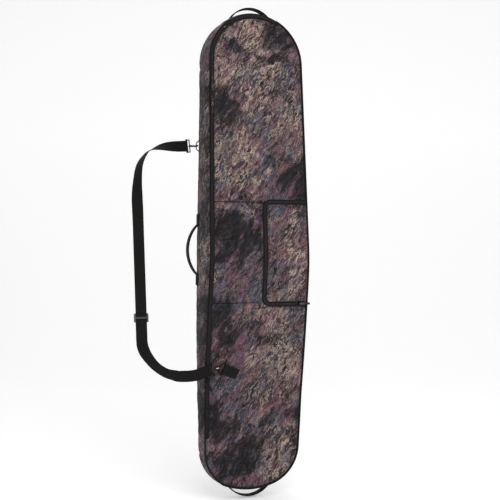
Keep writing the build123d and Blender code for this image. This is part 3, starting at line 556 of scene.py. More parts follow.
def gusset(name, s0, s1, node):
    """One length of the side wall: rounded at the back, then straight to the front, slightly bulged."""
    n_s = max(12, int((s1 - s0) / CELL))
    s = np.linspace(s0, s1, n_s)
    point, out = edge(s)
    turn = np.linspace(0, math.pi / 2, 5)
    wall = np.linspace(0, 1, 20)[1:]
    front_y = -(depth(point[:, 1]) - 2.0 * MM)
    round_t = np.concatenate([BACK_ROUND * (1 - np.sin(turn)), 0 * wall])
    side = np.concatenate([np.sin(turn), 1 + 0 * wall])
    back = np.concatenate([np.cos(turn), 0 * wall])
    y = np.concatenate([
        np.tile(BACK_Y - BACK_ROUND * (1 - np.cos(turn)), (n_s, 1)),
        BACK_Y - BACK_ROUND + np.outer(front_y - BACK_Y + BACK_ROUND, wall),
    ], 1)
    x = point[:, :1] - round_t * out[:, :1]
    z = point[:, 1:] - round_t * out[:, 1:]
    p = np.stack([x, y, z], -1)
    v = np.linspace(0, 1, y.shape[1])
    across = np.minimum(v, 1 - v)[None] * (depth(point[:, 1]))[:, None]
    ends = np.minimum(s - s0, s1 - s)[:, None]
    inner = np.minimum(across, ends)
    flat = p.reshape(-1, 3)
    free = loose(flat)
    lift = free * PUFF * (1 - np.exp(-inner / 0.022)).ravel() - 1.3 * MM * np.exp(-inner / 0.003).ravel()
    outward = np.stack([out[:, :1] * side, 0 * y + back, out[:, 1:] * side], -1).reshape(-1, 3)
    k = y.shape[1]
    rim = np.zeros((n_s, k), bool)
    rim[[0, -1]] = True
    rim[:, [0, 1, -1]] = True
    obj = make(name, flat + outward * lift[:, None], sheet_faces(n_s, k), PRINT)
    drape(obj, rim.ravel(), 1.2, 0.010, 2.0 * MM, free)
    finish_sheet(obj, edge_out, 4.2 * MM, 0.8 * MM)
    return stand_in(obj, node)


# ---- stitching and coils -----------------------------------------------------------------------
def drop(tree, points, way):
    """Move points along a direction onto a surface; points that miss are left out."""
    landed = []
    for p, w in zip(points, np.broadcast_to(way, points.shape)):
        hit = tree.ray_cast(Vector(p - 0.03 * w), Vector(w))[0]
        if hit is not None:
            landed.append(np.array(hit) - 0.1 * MM * w)
    return np.array(landed)


def stitches(line, normal, length=2.9 * MM, gap=STITCH, thick=0.45 * MM):
    """Verts and faces of a row of thread stitches along a line."""
    run = distance_along(line)
    at = np.arange(gap / 2, run[-1] - length, gap)

    def along(shift):
        return np.stack([np.interp(at + shift, run, line[:, i]) for i in range(3)], 1)

    first, middle, last = along(0), along(length / 2), along(length)
    way = last - first
    way /= np.linalg.norm(way, axis=1)[:, None] + 1e-9
    side = np.cross(way, normal)
    lift = np.asarray(normal) * thick
    ring = [middle + side * thick, middle + lift, middle - side * thick, middle - lift]
    verts = np.stack([first] + ring + [last], 1)
    faces = [(0, 1, 2), (0, 2, 3), (0, 3, 4), (0, 4, 1), (5, 2, 1), (5, 3, 2), (5, 4, 3), (5, 1, 4)]
    return verts.reshape(-1, 3), [[6 * i + k for k in f] for i in range(len(at)) for f in faces]


def gather(parts):
    """Several meshes' verts and faces as one."""
    verts, faces, start = [], [], 0
    for v, f in parts:
        verts.append(v)
        faces += [[start + k for k in face] for face in f]
        start += len(v)
    return np.concatenate(verts), faces


def coil(name, path, s0, s1, t, a, material, half_t=1.35 * MM, half_a=0.75 * MM, pitch=2.7 * MM):
    """A zip's coil: a wire wound round a flat core along an edge line."""
    turns = (s1 - s0) / pitch
    angle = np.linspace(0, 2 * math.pi * turns, int(turns * 10))
    s = s0 + angle / (2 * math.pi) * pitch
    tt = t + half_t * np.cos(angle)
    aa = a + half_a * np.sin(angle)
    line = path(s, tt, aa)
    core = path(s, t + 0 * tt, a + 0 * aa)
    verts, faces = tube(line, line - core, 0.42 * MM, 5)
    return make(name, verts, faces, material)


# ---- materials ---------------------------------------------------------------------------------
def shade(r, g, b):
    """A linear colour from 0-255 display values."""
    def linear(c):
        c /= 255
        return c / 12.92 if c <= 0.04045 else ((c + 0.055) / 1.055) ** 2.4
    return (linear(r), linear(g), linear(b), 1)


class Finish:
    """A node material, with short calls for what the finishes share."""

    def __init__(self, name, roughness=0.6, metallic=0.0, specular=0.5):
        self.material = bpy.data.materials.new(name)
        self.material.use_nodes = True
        self.nodes = self.material.node_tree.nodes
        self.links = self.material.node_tree.links
        self.bsdf = self.nodes["Principled BSDF"]
        self.set("Roughness", roughness)
        self.set("Metallic", metallic)
        self.set("Specular IOR Level", specular)

    def put(self, socket, value):
        if isinstance(value, bpy.types.NodeSocket):
            self.links.new(value, socket)
        else:
            socket.default_value = value

    def set(self, key, value):
        self.put(self.bsdf.inputs[key], value)

    def node(self, kind, inputs=(), **settings):
        made = self.nodes.new("ShaderNode" + kind)
        for key, value in settings.items():
            setattr(made, key, value)
        for key, value in dict(inputs).items():
            self.put(made.inputs[key], value)
        return made

    def place(self, name="cloth_pos"):
        return self.node("Attribute", attribute_name=name).outputs["Vector"]

    def math(self, operation, a, b=0.0):
        return self.node("Math", {0: a, 1: b}, operation=operation).outputs[0]

    def plus(self, a, b):
        return self.math("ADD", a, b)

    def minus(self, a, b):
        return self.math("SUBTRACT", a, b)

    def times(self, a, b):
        return self.math("MULTIPLY", a, b)

    def vector(self, operation, a, b):
        made = self.node("VectorMath", {0: a, 1: b}, operation=operation)
        return made.outputs["Value" if operation in ("DOT_PRODUCT", "LENGTH") else "Vector"]

    def noise(self, vector, scale, detail=4.0, roughness=0.5):
        inputs = {"Vector": vector, "Scale": scale, "Detail": detail, "Roughness": roughness}
        return self.node("TexNoise", inputs).outputs["Fac"]

    def cracks(self, vector, scale):
        """Distance to the nearest line of a crackle."""
        inputs = {"Vector": vector, "Scale": scale}
        return self.node("TexVoronoi", inputs, feature="DISTANCE_TO_EDGE").outputs["Distance"]

    def facets(self, vector, scale):
        """A random colour for each cell of the same crackle."""
        return self.node("TexVoronoi", {"Vector": vector, "Scale": scale}).outputs["Color"]

    def ramp(self, value, low, high, to_low=0.0, to_high=1.0):
        inputs = {"Value": value, "From Min": low, "From Max": high, "To Min": to_low, "To Max": to_high}
        return self.node("MapRange", inputs, interpolation_type="SMOOTHSTEP").outputs["Result"]

    def mix(self, factor, a, b):
        return self.node("Mix", {0: factor, 6: a, 7: b}, data_type="RGBA").outputs[2]

    def bump(self, height, distance, strength=1.0):
        inputs = {"Height": height, "Distance": distance, "Strength": strength}
        self.set("Normal", self.node("Bump", inputs).outputs["Normal"])


# soft-edged patches of the print on the front: centre x, height, half sizes, in metres
DARK_PATCHES = (
    (-0.125, 0.500, 0.062, 0.055), (0.140, 0.245, 0.085, 0.075), (-0.085, 0.045, 0.095, 0.085),
    (-0.135, -0.245, 0.060, 0.085), (-0.125, -0.600, 0.062, 0.055), (-0.070, -0.715, 0.100, 0.052),
    (0.020, -0.665, 0.060, 0.030), (0.160, -0.585, 0.040, 0.032), (0.085, 0.765, 0.060, 0.035),
    (0.045, 0.690, 0.045, 0.022), (-0.078, 0.725, 0.026, 0.026), (-0.190, 0.690, 0.022, 0.065),
    (-0.190, 0.300, 0.020, 0.085), (-0.190, 0.130, 0.020, 0.060), (-0.190, -0.230, 0.022, 0.070),
    (0.010, -0.290, 0.050, 0.035), (-0.190, -0.520, 0.020, 0.080), (-0.190, 0.560, 0.020, 0.050),
)
TAN_PATCHES = (
    (0.000, 0.585, 0.130, 0.110), (-0.085, 0.290, 0.105, 0.125), (0.110, 0.480, 0.080, 0.090),
    (0.125, -0.010, 0.050, 0.130), (0.075, -0.380, 0.100, 0.160), (0.115, -0.720, 0.080, 0.090),
    (-0.020, 0.740, 0.060, 0.050), (-0.190, 0.520, 0.020, 0.090), (-0.190, -0.030, 0.020, 0.080),
)


def patches(m, place, spots, ragged):
    """How deep a point lies in any of the patches, with a ragged edge."""
    nearest = None
    for x, z, half_x, half_z in spots:
        away = m.vector("SUBTRACT", place, (x, 0, z))
        away = m.vector("LENGTH", m.vector("MULTIPLY", away, (1 / half_x, 0, 1 / half_z)), (0, 0, 0))
        nearest = away if nearest is None else m.math("MINIMUM", nearest, away)
    return m.ramp(m.plus(nearest, ragged), 1.25, 0.70)


def print_cloth(name):
    """Storm print on coated cloth: charcoal clouds, plum and slate washes, tan crumples, diagonal creases."""
    m = Finish(name, roughness=0.74, specular=0.13)
    place = m.place()
    drift = m.node("TexNoise", {"Vector": place, "Scale": 9.0, "Detail": 5.0}).outputs["Color"]
    drift = m.vector("MULTIPLY", m.vector("SUBTRACT", drift, (0.5, 0.5, 0.5)), (0.17, 0.17, 0.17))
    cloud_place = m.vector("ADD", place, drift)
    swirl = m.node("TexNoise", {"Vector": place, "Scale": 24.0, "Detail": 3.0}).outputs["Color"]
    swirl = m.vector("MULTIPLY", m.vector("SUBTRACT", swirl, (0.5, 0.5, 0.5)), (0.026, 0.026, 0.026))
    crease_place = m.vector("ADD", place, swirl)
    along = m.vector("DOT_PRODUCT", crease_place, (0.17, -0.09, 0.27))
    across = m.vector("DOT_PRODUCT", crease_place, (-0.839, 0.44, 0.545))
    depth_way = m.vector("DOT_PRODUCT", crease_place, (0.0, 0.2, 0.0))
    strokes = m.node("CombineXYZ", {0: along, 1: across, 2: depth_way}).outputs[0]

    rag = m.times(m.minus(m.noise(strokes, 26.0, 6.0, 0.65), 0.5), 3.4)
    dark = m.ramp(m.noise(cloud_place, 10.0, 5.0, 0.6), 0.54, 0.64)
    dark = m.math("MAXIMUM", m.times(dark, 0.75), patches(m, cloud_place, DARK_PATCHES, rag))
    wisp = m.ramp(m.noise(strokes, 48.0, 5.0, 0.62), 0.50, 0.66)
    dark = m.times(dark, m.minus(1.0, m.times(wisp, 0.65)))
    tan = m.ramp(m.noise(m.vector("ADD", cloud_place, (3.1, 0, 1.7)), 9.0, 5.0, 0.6), 0.46, 0.66)
    tan = m.math("MAXIMUM", m.times(tan, 0.6), patches(m, cloud_place, TAN_PATCHES, rag))
    thin = m.noise(m.vector("ADD", cloud_place, (4, 4, 1)), 21.0, 5.0)
    tan = m.times(tan, m.ramp(thin, 0.36, 0.54, 0.3, 1.0))

    wash = m.ramp(m.noise(m.vector("ADD", cloud_place, (7, 1, 2)), 12.0, 4.0), 0.42, 0.58)
    colour = m.mix(wash, shade(84, 57, 73), shade(63, 65, 79))
    warm = m.ramp(m.noise(m.vector("ADD", cloud_place, (1, 9, 4)), 17.0, 5.0), 0.48, 0.64)
    colour = m.mix(m.times(warm, 0.7), colour, shade(106, 72, 76))
    tan_share = m.times(tan, m.ramp(m.noise(strokes, 34.0, 6.0, 0.7), 0.42, 0.62, 0.12, 0.98))
    colour = m.mix(tan_share, colour, shade(133, 113, 103))
    streak = m.ramp(m.noise(m.vector("ADD", strokes, (2, 6, 3)), 40.0, 6.0, 0.7), 0.44, 0.62)
    colour = m.mix(m.times(streak, 0.5), colour, shade(44, 38, 43))
    colour = m.mix(m.times(dark, 0.95), colour, shade(20, 21, 25))

    fine_place = m.vector("ADD", strokes, (3, 1, 2))
    fine_line = m.ramp(m.cracks(fine_place, 120.0), 0.0, 0.13, 0.35, 1.0)
    line = m.times(m.ramp(m.cracks(strokes, 54.0), 0.0, 0.11), fine_line)
    facet = m.vector("DOT_PRODUCT", m.facets(strokes, 54.0), (0.6, 0.0, 0.0))
    facet = m.plus(facet, m.vector("DOT_PRODUCT", m.facets(fine_place, 120.0), (0, 0.4, 0)))
    crinkle = m.ramp(m.noise(m.vector("ADD", cloud_place, (2, 8, 5)), 15.0, 4.0), 0.40, 0.58, 0.30, 1.0)
    crinkle = m.math("MAXIMUM", crinkle, tan)
    ridge = m.noise(m.vector("ADD", strokes, (5, 3, 1)), 85.0, 5.0, 0.65)
    ridge = m.math("ABSOLUTE", m.minus(ridge, 0.5))
    ridge = m.ramp(ridge, 0.030, 0.004)
    lit = m.plus(m.times(tan, 0.60), 0.22)
    lit = m.times(lit, m.minus(1.0, m.times(dark, 0.82)))
    facet_light = m.times(m.minus(m.ramp(facet, 0.1, 0.9, 0.46, 1.52), 1.0), crinkle)
    colour = m.vector("MULTIPLY", colour, m.plus(facet_light, 1.0))
    groove = m.times(m.minus(1.0, line), m.times(crinkle, 0.88))
    colour = m.mix(groove, colour, shade(19, 15, 20))
    colour = m.mix(m.times(ridge, lit), colour, shade(192, 174, 160))
    fleck = m.ramp(m.noise(place, 900.0, 2.0), 0.35, 0.65, 0.90, 1.08)
    m.set("Base Color", m.vector("MULTIPLY", colour, fleck))
    m.set("Roughness", m.ramp(line, 0.0, 1.0, 0.82, 0.64))
    m.set("Sheen Weight", 0.02)
    height = m.plus(m.times(line, 0.8), m.times(ridge, 0.4))
    height = m.plus(height, m.times(facet, 0.8))
    m.bump(m.plus(height, m.times(weave_height(m, place, 1.1 * MM), 0.06)), 0.9 * MM, 0.6)
    return m.material


def weave_height(m, place, pitch):
    """A plain weave's height: threads over and under in two directions."""
    parts = m.node("SeparateXYZ", {0: place})
    turn = 2 * math.pi / pitch
    u = m.math("SINE", m.times(m.plus(parts.outputs[0], parts.outputs[1]), turn))
    v = m.math("SINE", m.times(parts.outputs[2], turn))
    return m.times(u, v)


def woven(name, colour, paler_tone, rib=2.1 * MM, chevron=9.5 * MM, roughness=0.8):
    """Webbing or zip tape: chevron ribs across, fuzz and wear, in the strip's own directions. The rib tops
    are painted paler: a painted highlight.
    """
    m = Finish(name, roughness=roughness, specular=0.12)
    place = m.place("weave")
    parts = m.node("SeparateXYZ", {0: place})
    zig = m.math("PINGPONG", m.plus(parts.outputs[1], 1.0), chevron / 2)
    phase = m.times(m.plus(parts.outputs[0], zig), 2 * math.pi / rib)
    ribs = m.times(m.plus(m.math("SINE", phase), 1.0), 0.5)
    ends = m.math("SINE", m.times(parts.outputs[1], 2 * math.pi / (1.2 * MM)))
    fuzz = m.noise(place, 1400.0, 3.0, 0.7)
    wear = m.ramp(m.noise(place, 30.0, 5.0, 0.65), 0.45, 0.75)
    # painted highlight: rib tops mixed toward the paler colour, grooves left darker as painted shade
    base = m.mix(m.times(ribs, 0.55), colour, paler_tone)
    base = m.mix(m.times(wear, 0.35), base, paler_tone)
    m.set("Base Color", m.vector("MULTIPLY", base, m.ramp(fuzz, 0.3, 0.7, 0.82, 1.15)))
    m.set("Sheen Weight", 0.04)
    height = m.plus(ribs, m.times(m.plus(ends, fuzz), 0.25))
    m.bump(height, 0.35 * MM, 0.7)
    return m.material


def coated(name, colour, paler_tone, pitch, quilt=0.0):
    """Heavy plain-weave cloth, for the back, and for the lining where it is quilted in diamonds."""
    m = Finish(name, roughness=0.75, specular=0.3)
    place = m.place()
    scuff = m.ramp(m.noise(place, 14.0, 7.0, 0.7), 0.48, 0.72)
    grain = m.noise(place, 700.0, 3.0)
    base = m.mix(m.times(scuff, 0.5), colour, paler_tone)
    m.set("Base Color", m.vector("MULTIPLY", base, m.ramp(grain, 0.3, 0.7, 0.85, 1.12)))
    m.set("Roughness", m.ramp(scuff, 0.0, 1.0, 0.62, 0.85))
    height = m.plus(weave_height(m, place, pitch), grain)
    if quilt:
        height = m.plus(height, m.times(weave_height(m, place, quilt), 1.5))
    m.bump(height, 0.3 * MM, 0.6)
    return m.material


def plastic(name, colour, paler_tone, roughness):
    """Moulded plastic or cord rubber: fine grain, slightly polished high spots."""
    m = Finish(name, roughness=roughness)
    place = m.node("TexCoord").outputs["Object"]
    grain = m.noise(place, 1500.0, 2.0)
    rub = m.ramp(m.noise(place, 160.0, 4.0, 0.6), 0.45, 0.7)
    edge_wear = m.ramp(m.node("NewGeometry").outputs["Pointiness"], 0.50, 0.58)
    m.set("Base Color", m.mix(m.math("MAXIMUM", m.times(rub, 0.3), edge_wear), colour, paler_tone))
    m.set("Roughness", m.ramp(rub, 0.0, 1.0, roughness, roughness * 0.7))
    m.bump(grain, 0.08 * MM, 0.5)
    return m.material


def metal(name, colour, bare, roughness, wear):
    """Plated die-cast metal: dark plating that thins to bare metal along the edges, fine scratches."""
    m = Finish(name, roughness=roughness, metallic=1.0)
    place = m.node("TexCoord").outputs["Object"]
    scratch = m.noise(m.vector("MULTIPLY", place, (4.0, 1.0, 0.25)), 900.0, 4.0, 0.7)
    edge_wear = m.ramp(m.node("NewGeometry").outputs["Pointiness"], 0.51, 0.60)
    edge_wear = m.times(edge_wear, m.ramp(m.noise(place, 300.0, 4.0), 0.35, 0.6))
    bare_share = m.math("MAXIMUM", m.times(edge_wear, 0.9), m.times(scratch, wear))
    m.set("Base Color", m.mix(bare_share, colour, bare))
    m.set("Roughness", m.ramp(scratch, 0.3, 0.7, roughness * 0.8, roughness * 1.3))
    m.bump(scratch, 0.05 * MM, 0.4)
    return m.material


PRINT = print_cloth("storm_print")
WEBBING = woven("webbing", shade(10, 10, 10), shade(28, 28, 26))
TAPE = woven("zip_tape", shade(15, 14, 14), shade(33, 28, 28), rib=1.3 * MM, chevron=4.0 * MM)
BINDING = woven("binding", shade(14, 14, 15), shade(35, 34, 35), rib=1.6 * MM, chevron=6.0 * MM)
THREAD = woven("thread", shade(34, 32, 33), shade(70, 66, 66), rib=0.8 * MM, chevron=2.0 * MM)
BACK_CLOTH = coated("back_cloth", shade(31, 31, 33), shade(56, 55, 57), 1.6 * MM)
BASE_CLOTH = coated("base_cloth", shade(22, 22, 23), shade(50, 50, 51), 2.4 * MM)
LINING = coated("lining_cloth", shade(46, 46, 50), shade(66, 65, 70), 0.9 * MM, quilt=90 * MM)
COIL = plastic("coil_nylon", shade(14, 13, 13), shade(44, 41, 40), 0.42)
CORD = plastic("cord_rubber", shade(24, 24, 24), shade(54, 53, 52), 0.55)
BUCKLE = plastic("buckle_acetal", shade(21, 21, 22), shade(58, 58, 58), 0.40)
PLATED = metal("black_plating", shade(15, 15, 16), shade(84, 82, 78), 0.42, 0.08)
BRIGHT = metal("bright_steel", shade(172, 170, 164), shade(215, 212, 205), 0.22, 0.5)
SLIDER = metal("slider_paint", shade(17, 16, 16), shade(84, 80, 76), 0.45, 0.10)


# ---- the bag's body ----------------------------------------------------------------------------
HINGE_IN = 4.0 * MM            # the front's fold line, in from the outline
FOLD = 14 * MM                 # width over which the fold weight rises at the fold line
CORNER_FOLD = 90 * MM          # width over which the fold weight rises at the sewn upper right corner
CORNER_FROM = (167 * MM, 640 * MM)
CORNER_TO = (ZIP_END_X, 812 * MM)
FLAP_LOW = -375 * MM           # below this height the fold weight is 0
FLAP_HIGH = -200 * MM


def fold_weight(p):
    """How far a point of the front follows the opening cover: 0 at its sewn edges, 1 over the leaf."""
    hinge = SIDE_X - HINGE_IN - SIDE_SLOPE * (p[:, 2] - SIDE_Z)
    side = (hinge - p[:, 0]) / FOLD
    chord = np.array(CORNER_TO) - np.array(CORNER_FROM)
    out = np.array((chord[1], -chord[0])) / np.linalg.norm(chord)
    corner = -((p[:, [0, 2]] - CORNER_FROM) @ out) / CORNER_FOLD
    return smooth(np.minimum(side, corner)) * smooth((p[:, 2] - FLAP_LOW) / (FLAP_HIGH - FLAP_LOW))


def fold(obj):
    """Bake a piece of the front's place into its mesh. How far each point follows the opening cover is
    worked out but not used.
    """
    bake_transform(obj)
    weight = fold_weight(coords(obj.data)).astype(np.float32)
    return obj


def flat_line(height):
    return lambda x: height + 0 * x


BEYOND = 0.9                   # a height past both ends of the bag
upper = front_panel("front_upper_cloth", flat_line(SEAM_UP + SEAM_GAP), flat_line(BEYOND), "cover_upper")
middle = front_panel("front_middle_cloth", lambda x: seam_low(x) + SEAM_GAP, flat_line(SEAM_UP - SEAM_GAP),
                     "cover_middle")
lower = front_panel("front_lower_cloth", flat_line(-BEYOND), lambda x: seam_low(x) - SEAM_GAP, "front_lower")
for panel in (upper, middle, lower):
    fold(panel)
TOP_S = arc_at(z=640 * MM)
LOW_S = arc_at(z=-700 * MM)
left_wall = gusset("gusset_left_cloth", -LOW_S, -TOP_S, "gusset_left")
right_wall = gusset("gusset_right_cloth", TOP_S, LOW_S, "gusset_right")
top_wall = gusset("gusset_top_cloth", -TOP_S, TOP_S, "gusset_top")
foot_wall = gusset("gusset_bottom_cloth", LOW_S, 2 * HALF_GIRTH - LOW_S, "gusset_bottom")


def back_sheet(name, inset, y, thickness, cell, amount, material, node, puff, facing_back=True):
    """A sheet parallel to the back, its edge moved in from the outline."""
    def outside(p):
        return from_edge(p)[0] + inset

    grid, quads, rim = snapped_grid(outside, *BAG_BOX, cell)
    inner = -outside(grid)
    lift = puff * (1 - np.exp(-inner / 0.02)) - puff * 0.6
    way = 1 if facing_back else -1
    place = np.stack([grid[:, 0], y + way * lift, grid[:, 1]], 1)
    obj = make(name, place, quads[:, ::-1] if facing_back else quads, material)
    finish_sheet(obj, back_out if facing_back else front_out, thickness, amount)
    return stand_in(obj, node)


SHEET = 9 * MM
back = back_sheet("back_cloth_panel", 10.7 * MM, -2.2 * MM, 4.2 * MM, SHEET, 0.25 * MM, BACK_CLOTH,
                  "back_panel", 0.4 * MM)
patch = back_sheet("back_base_patch", 62 * MM, -0.35 * MM, 1.1 * MM, SHEET, 0.12 * MM, BASE_CLOTH,
                   "base_patch", 0.2 * MM)
back_sheet("back_foam_pad", 18 * MM, -13.0 * MM, 4.4 * MM, SHEET, 0.5 * MM, LINING,
           "back_pad", 1.4 * MM, facing_back=False)


def cover_pad():
    """The quilted pad inside the opening front."""
    def outside(p):
        return np.maximum(from_edge(p)[0] + 21 * MM, -0.165 - p[:, 1])

    grid, quads, _ = snapped_grid(outside, *BAG_BOX, 9 * MM)
    inner = -outside(grid)
    sink = 1.2 * MM * (1 - np.exp(-inner / 0.02))
    place = np.stack([grid[:, 0], -depth(grid[:, 1]) + 7.0 * MM + sink, grid[:, 1]], 1)
    obj = make("cover_quilt_pad", place, quads[:, ::-1], LINING)
    finish_sheet(obj, back_out, 2.4 * MM, 0.5 * MM)
    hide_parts("cover_pad")
    return fold(obj)


cover_pad()
RIGHT_S = np.arange(ZIP_HIGH, HALF_GIRTH, 5 * MM)
LEFT_S = np.arange(-HALF_GIRTH, ZIP_LOW, 5 * MM)
ALL_S = np.append(np.arange(-HALF_GIRTH, HALF_GIRTH, 6 * MM), HALF_GIRTH)


def lining_wall():
    """The thin lining of the side walls, all the way round, with soft waves."""
    point, out = edge(ALL_S)
    wave = 0.35 * MM * np.sin(ALL_S / 0.031) * np.cos(ALL_S / 0.077)
    y = np.stack([np.full(len(ALL_S), -7.4 * MM), -(depth(point[:, 1]) - 11 * MM)], 1)
    rows = []
    for share in np.linspace(0, 1, 9):
        t = 5.95 * MM + wave * math.sin(math.pi * share)
        yy = y[:, 0] + share * (y[:, 1] - y[:, 0])
        rows.append(np.stack([point[:, 0] - t * out[:, 0], yy, point[:, 1] - t * out[:, 1]], 1))
    p = np.stack(rows, 1)
    quads = sheet_faces(*p.shape[:2])[:, [0, 3, 2, 1]]
    obj = make("side_lining", p.reshape(-1, 3), quads, LINING)
    thicken(obj, 0.7 * MM, 0)
    store(obj, "cloth_pos", coords(obj.data))
    return stand_in(obj, "lining")


lining_wall()


def rounded(t0, t1, a0, a1, soft=0.35):
    """A flat section with eased corners."""
    return ((t0 + soft, a0), (t1 - soft, a0), (t1, a0 + soft / 2), (t1, a1 - soft / 2), (t1 - soft, a1),
            (t0 + soft, a1), (t0, a1 - soft / 2), (t0, a0 + soft / 2))


def cord_section(t, a, r, flange):
    """Round cord with a flat flange towards the panel."""
    ring = [(t + r * math.cos(q), a + r * math.sin(q)) for q in np.linspace(0.45, 2 * math.pi - 0.9, 13)]
    tucked = ((flange + 2.2, a - 4.2), (flange + 2.4, a - 3.4))
    return tuple(ring) + ((flange - 0.4, a - r * 0.9), *tucked, (flange, a - r * 0.3))


for side_name, run in (("right", np.append(RIGHT_S, HALF_GIRTH)), ("left", np.append(LEFT_S, ZIP_LOW))):
    piece = swept("piping_" + side_name, on_front, run, cord_section(1.5, 0.2, 2.35, 5.0), BINDING)
    stand_in(piece, "piping")


def seam_binding(name, x0, x1, height):
    """The bound edge behind a cross seam of the front."""
    x = np.linspace(x0, x1, 90)
    z = height(x)
    line = np.stack([x, -depth(z) + 4.1 * MM, z], 1)
    piece = strip(name, line, np.tile((0.0, 0.0, 1.0), (90, 1)), 8 * MM, 1.3 * MM, BINDING)
    return fold(piece)


seam_binding("seam_binding_high", -0.160, 0.172, flat_line(SEAM_UP))
seam_binding("seam_binding_low", -0.161, 0.174, seam_low)
ZIP_S = np.append(np.arange(ZIP_LOW, ZIP_HIGH, 4 * MM), ZIP_HIGH)
SPLIT_S = -arc_at(z=SEAM_LOW)
COVER_S = np.append(np.arange(SPLIT_S, ZIP_HIGH, 4 * MM), ZIP_HIGH)
LOWER_S = np.append(np.arange(ZIP_LOW, SPLIT_S, 4 * MM), SPLIT_S)


def zip_side(piece, node):
    """A tape or coil of the main zip: one side stays with the shell, the other is baked in its node's place.
    """
    if node.endswith("_shell"):
        return stand_in(piece, node)
    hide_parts(node)
    return fold(piece)


TUCKED = ((16.6, -1.3), (20.2, -4.3), (20.6, -3.6), (17.0, -0.3))   # where the tape is sewn under the panel
for label, run, t, a, node in (
    ("zip_tape_side", ZIP_S, (0.6, 8.6), (-1.3, -0.3), "zip_tape_shell"),
    ("zip_tape_front", COVER_S, (10.4, 17.6), (-1.3, -0.3), "zip_tape_cover"),
    ("zip_tape_foot", LOWER_S, (10.4, 17.6), (-1.3, -0.3), "zip_tape_lower"),
):
    section = rounded(*t, *a)
    if node != "zip_tape_shell":
        section = section[:1] + TUCKED + section[5:]
    piece = swept(label, on_front, run, section, TAPE)
    zip_side(piece, node)
for label, s0, s1, t, node in (
    ("zip_coil_side", ZIP_LOW, ZIP_HIGH, 7.5, "zip_coil_shell"),
    ("zip_coil_front", SPLIT_S, ZIP_HIGH, 11.5, "zip_coil_cover"),
    ("zip_coil_foot", ZIP_LOW, SPLIT_S, 11.5, "zip_coil_lower"),
):
    piece = coil(label, on_front, s0, s1, t * MM, 0.85 * MM, COIL)
    zip_side(piece, node)
END_TAB = ((0.9, -1.2), (16.4, -1.2), (16.6, 0.6), (14.5, 1.4), (9.0, 1.7), (3.0, 1.4), (0.9, 0.8))
for label, s0, s1 in (
    ("zip_end_low", ZIP_LOW - 18 * MM, ZIP_LOW),
    ("zip_end_high", ZIP_HIGH, ZIP_HIGH + 16 * MM),
):
    piece = swept(label, on_front, np.linspace(s0, s1, 8), END_TAB, BINDING)
    stand_in(piece, "zip_end_tabs")


def pocket_bend(obj):
    """Bake the place of a piece on the pocket's flap into its mesh."""
    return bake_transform(obj)


def pocket_flap():
    """The pocket's padded flap, crowned between its zip and its sewn right edge."""
    def outside(p):
        return np.maximum(pocket_inside(p, 16.6 * MM), p[:, 0] - POCKET_RIGHT)

    grid, quads, rim = snapped_grid(outside, *POCKET_BOX, 5 * MM)
    inner = -outside(grid)
    rise = 1.0 * MM + 6.4 * MM * (1 - np.exp(-inner / 0.018))
    place = np.stack([grid[:, 0], -depth(grid[:, 1]) - rise, grid[:, 1]], 1)
    obj = make("pocket_flap_cloth", place, quads, PRINT)
    drape(obj, rim, 2.0, 0.015, 2.0 * MM, np.ones(len(place)))
    finish_sheet(obj, front_out, 1.2 * MM, 0.5 * MM, held=False)
    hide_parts("pocket_flap")
    return pocket_bend(obj)


flap = pocket_flap()


def pocket_back():
    """The pocket's thin lining on the cover."""
    def outside(p):
        return np.maximum(pocket_inside(p, 22 * MM), p[:, 0] - POCKET_RIGHT + 12 * MM)

    grid, quads, _ = snapped_grid(outside, *POCKET_BOX, 8 * MM)
    place = np.stack([grid[:, 0], -depth(grid[:, 1]) - 0.9 * MM, grid[:, 1]], 1)
    obj = make("pocket_inner_lining", place, quads, LINING)
    finish_sheet(obj, front_out, 0.5 * MM, 0.15 * MM)
    return stand_in(obj, "pocket_lining", body="cover")


pocket_back()


def pocket_side(piece, node):
    """A tape or coil of the pocket zip: one side stays with the cover, the other is baked in its node's
    place.
    """
    if node.endswith("_outer"):
        return stand_in(piece, node, body="cover")
    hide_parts(node)
    return pocket_bend(piece)


POCKET_S = np.append(np.arange(0, POCKET_RUN, 4 * MM), POCKET_RUN)
for label, t, node in (("pocket_tape_body", (0, 7.4), "pocket_tape_outer"),
                       ("pocket_tape_lid", (9.2, 17.0), "pocket_tape_flap")):
    piece = swept(label, on_pocket, POCKET_S, rounded(*t, 0.3, 1.3), TAPE)
    pocket_side(piece, node)
for label, t, node in (
    ("pocket_coil_body", 6.4, "pocket_coil_outer"),
    ("pocket_coil_lid", 10.2, "pocket_coil_flap"),
):
    piece = coil(label, on_pocket, 0.0, POCKET_RUN, t * MM, 2.4 * MM, COIL, pitch=2.4 * MM)
    pocket_side(piece, node)


# ---- handles -----------------------------------------------------------------------------------
HANDLE_W = 25 * MM
HANDLE_T = 4.2 * MM
FOOT_LIFT = 2.2 * MM


def thread(name, rows, body="shell"):
    """Rows of stitches as one piece."""
    verts, faces = gather(rows)
    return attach(make(name, verts, faces, THREAD), body)


